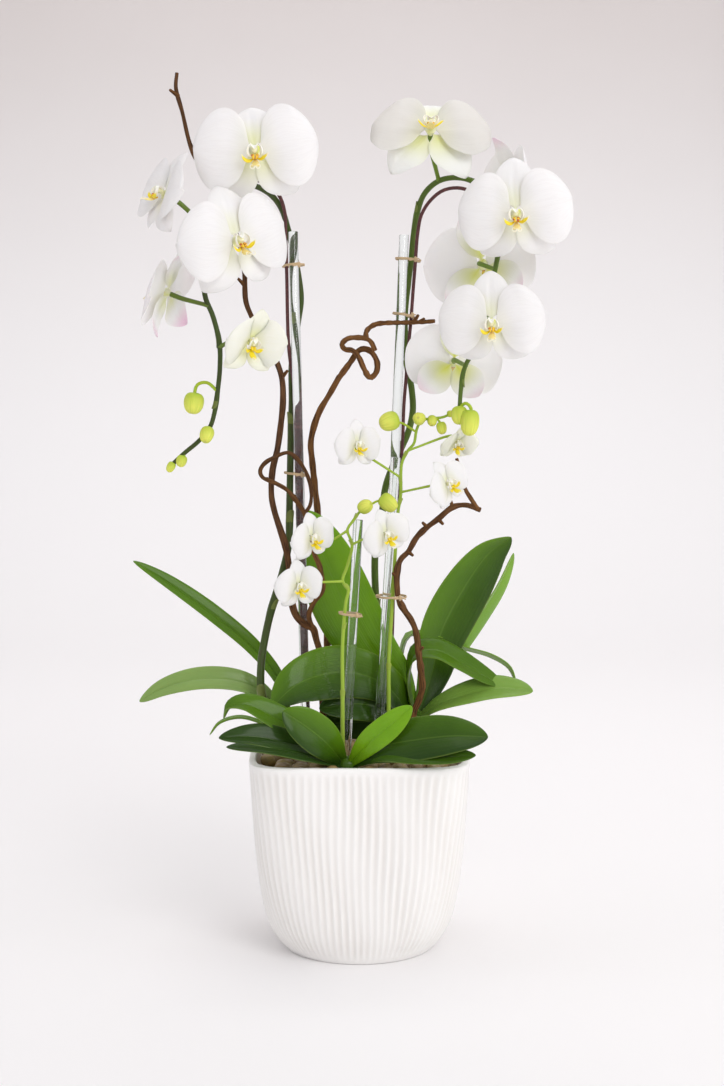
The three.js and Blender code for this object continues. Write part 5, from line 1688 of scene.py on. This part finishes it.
def make_petals(name, seed):
    """Two petals and three sepals on one hub."""
    facts, size, matrix = BLOOMS[name], bloom_size(name), bloom_matrix(name)
    rows, columns = (14, 10) if is_small(name) else (26, 20)
    plain = SMALL_TINTS if is_small(name) else PLAIN_TINTS
    petal_tint, sepal_tint = BLOOM_TINTS.get(name, plain)
    bm = new_skin()
    for order, (blade, angle) in enumerate(BLADE_ANGLES.items()):
        kind = "petal" if blade.startswith("petal") else blade
        share = facts.get("top_sepal", 1) if blade == "top" else 1
        surface = petal_surface(kind, angle, size, share, facts.get("open", 1), seed, matrix)
        tint = (*(petal_tint if kind == "petal" else sepal_tint), portion(seed, order))
        add_blade(bm, surface, rows, columns, PETAL_THICKNESS, tint)

    def hub_radius(share, angle):
        return size * (0.022 + 0.03 * share) * (1 + 0.06 * np.cos(3 * angle))

    hub = [matrix @ (Vector((0, 0, z)) * size * MM) / MM for z in (-HUB_DEPTH, -0.035, -0.004)]
    add_tube(bm, Route(hub), hub_radius, 15, 1.2, (0.9, 0, 0.5), 0.1)
    return bm


for seed, name in enumerate(BLOOMS):
    finish, slot = white_petal, "white_petal"
    if is_young(name):
        finish, slot = cream_petal, "cream_petal"
    if name in SHADED_BLOOMS:
        finish = painted_shade_petal
    finished("petals_of_" + name, make_petals(name, seed), finish, slot, name + "_petals")

# %% [markdown]
# ## Lips
# The lip is the small bright heart of the bloom. A white column stands over it under a hood. Two
# white side lobes curl up round the column, with a yellow horn below each. The middle lobe points
# forward like a trowel and ends in two thin curled threads, and an orange callus with red spots
# sits where they meet. They are blades and tubes again, in shares of the bloom's width.

# %% Lip tables
# Places in shares of the bloom's width: to the right, up and forward.
COLUMN = [(0, 0.004, 0.002), (0, 0.018, 0.03), (0, 0.014, 0.06), (0, -0.004, 0.078)]
COLUMN_HOOD = [(0, 0.03, 0.02), (0, 0.042, 0.05), (0, 0.034, 0.082), (0, 0.012, 0.1)]
SIDE_LOBE = [
    (0.026, -0.052, 0.06), (0.055, -0.03, 0.086), (0.062, 0.008, 0.096), (0.044, 0.042, 0.092),
    (0.022, 0.056, 0.084),
]
HORN = [(0.016, -0.06, 0.06), (0.05, -0.072, 0.086), (0.082, -0.054, 0.104), (0.108, -0.02, 0.112)]
MIDDLE_LOBE = [
    (0, -0.055, 0.045), (0, -0.086, 0.09), (0, -0.104, 0.13), (0, -0.12, 0.165), (0, -0.13, 0.19),
]
THREAD = [
    (0.004, -0.126, 0.186), (0.014, -0.142, 0.194), (0.032, -0.14, 0.192), (0.04, -0.12, 0.182),
    (0.03, -0.106, 0.174), (0.02, -0.114, 0.176),
]
CALLUS = [
    (0.013, -0.056, 0.05), (0.017, -0.036, 0.074), (0.015, -0.044, 0.096), (0.011, -0.06, 0.104),
]
# Half width at the root, how much it swells, and two powers: the first moves the widest place,
# towards the tip where it is above 1, and the second draws it together.
HOOD_WIDTH = (0.014, 0.02, 0.8, 1.0)
HORN_WIDTH = (0.006, 0.014, 1.2, 1.0)
SIDE_WIDTH = (0.008, 0.012, 0.8, 1.0)
MIDDLE_WIDTH = (0.012, 0.026, 1.2, 1.4)
YOUNG_LIP = 1.25
SMALL_LIP = 1.45
LIP_THICKNESS = 0.7
print("the lip reaches", max(z for _, _, z in MIDDLE_LOBE), "of the width forward")

# %% Lip shapes
def ribbon_surface(points, half_width, hint, cup):
    """A blade along a route. hint is which way it is wide, cup lifts both edges."""
    route = Route(points)
    hint = np.array(hint, float)

    def surface(s, t):
        s, t = np.broadcast_arrays(s, t)
        along = route.along(s)
        across = unit(hint - along * (along * hint).sum(-1, keepdims=True))
        upper = np.cross(across, along)
        reach = half_width(s) * MM
        bowl = upper * (cup * reach * t * t)[..., None]
        return route.at(s) + across * (reach * t)[..., None] + bowl

    return surface


def lobed(size, root, swell, shift, point):
    """Half the width of a lobe, closed at its tip."""
    def half_width(s):
        wave = np.sin(math.pi * np.clip(s, 0, 1) ** shift) ** point
        return size * (root + swell * wave) * (1 - s ** 8)

    return half_width


def rounded(start, swell):
    """A radius that is largest halfway."""
    return lambda share, angle: start + swell * np.sin(math.pi * share)


def make_lip(name):
    """Column, hood, horns, side lobes, callus, threads and middle lobe in one skin."""
    matrix, small, young = bloom_matrix(name), is_small(name), is_young(name)
    size = bloom_size(name) * (SMALL_LIP if small else YOUNG_LIP if young else 1)
    rows, columns = (8, 6) if small else (14, 10)
    ripe = 0.0 if small or young else 1.0
    bm = new_skin()

    def placed(points, side=1):
        return [matrix @ (Vector((side * x, y, z)) * size * MM) / MM for x, y, z in points]

    def add_lobe(points, side, width, hint, cup, tint, more_rows=0):
        hint = matrix.to_3x3() @ Vector(hint)
        surface = ribbon_surface(placed(points, side), lobed(size, *width), hint, cup)
        add_blade(bm, surface, rows + more_rows, columns, LIP_THICKNESS, tint)

    def add_stem(points, side, radius, around, step, tint, dome):
        add_tube(bm, Route(placed(points, side)), radius, around, step, tint, dome)

    add_stem(COLUMN, 1, rounded(size * 0.02, size * 0.006), 14, 0.9, (0.2, 0, 0.9), 0.8)
    add_lobe(COLUMN_HOOD, 1, HOOD_WIDTH, (1, 0, 0), -0.7, (0.0, 0.0, 0.1))
    for side in (-1, 1):
        horn_hint = (0, side * 0.7, -side * 0.7)
        add_lobe(HORN, side, HORN_WIDTH, horn_hint, -0.6 * side, (1, 0.1, 0))
        side_hint = (0.35 * side, 0.1, 0.9)
        add_lobe(SIDE_LOBE, side, SIDE_WIDTH, side_hint, 0.5 * side, (0.0, 0.0, 0.15))
        knob = rounded(size * 0.009, size * 0.006)
        add_stem(CALLUS, side, knob, 10, 0.8, (1, 0.25 + 0.75 * ripe, 0), 0.8)
        add_stem(THREAD, side, steady(size * 0.005, size * 0.0025), 6, 1.0, (0.2, 0, 0), 0.4)
    lobe_tint = (1 - 0.3 * ripe, 0.3 * ripe, 0.1)
    add_lobe(MIDDLE_LOBE, 1, MIDDLE_WIDTH, (1, 0, 0), 0.5, lobe_tint, more_rows=4)
    return bm


# %% Lips
lip_flesh = Finish("lip_flesh", (0.93, 0.75, 0.2), Roughness=0.42, Subsurface_Weight=0.04,
                   Subsurface_Scale=0.001, Coat_Weight=0.1)
lip_s, _, _ = lip_flesh.attribute("spot")
lip_yellow, lip_red, lip_green = lip_flesh.attribute("tint")
lip_cloud = lip_flesh.noise(lip_flesh.place(), 260.0, 2.0)
lip_spot = lip_flesh.between(lip_flesh.noise(lip_flesh.place(), 620.0, 1.0), 0.52, 0.6)
lip_base = lip_flesh.mix(lip_green * 0.6, (0.94, 0.92, 0.86), (0.74, 0.78, 0.42))
lip_gold = lip_flesh.mix(lip_red * lip_cloud, (0.9, 0.74, 0.02), (0.85, 0.36, 0.02))
lip_ripe = lip_yellow * (1 - lip_flesh.between(lip_s, 0.72, 1.0) * 0.75)
lip_colour = lip_flesh.mix(lip_ripe, lip_base, lip_gold)
lip_blood = lip_spot * lip_red * (1 - lip_flesh.between(lip_s, 0.25, 0.6) * 0.8)
lip_flesh.feed("Base Color", lip_flesh.mix(lip_blood, lip_colour, (0.5, 0.07, 0.02)))
lip_flesh.relief(lip_cloud, 0.25, 0.0005)

for name in BLOOMS:
    finished("lip_of_" + name, make_lip(name), lip_flesh, "lip", name + "_lip")

# %% [markdown]
# ## Close
# Both boxes, the CAD model's and the dressed plant's, are printed axis by axis.

# %% Sizes and close
visual_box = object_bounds()
for axis, name in enumerate("xyz"):
    cad, dressed = ([round(c[axis], 4) for c in box] for box in (cad_box, visual_box))
    print(name, "CAD", cad, "dressed", dressed)
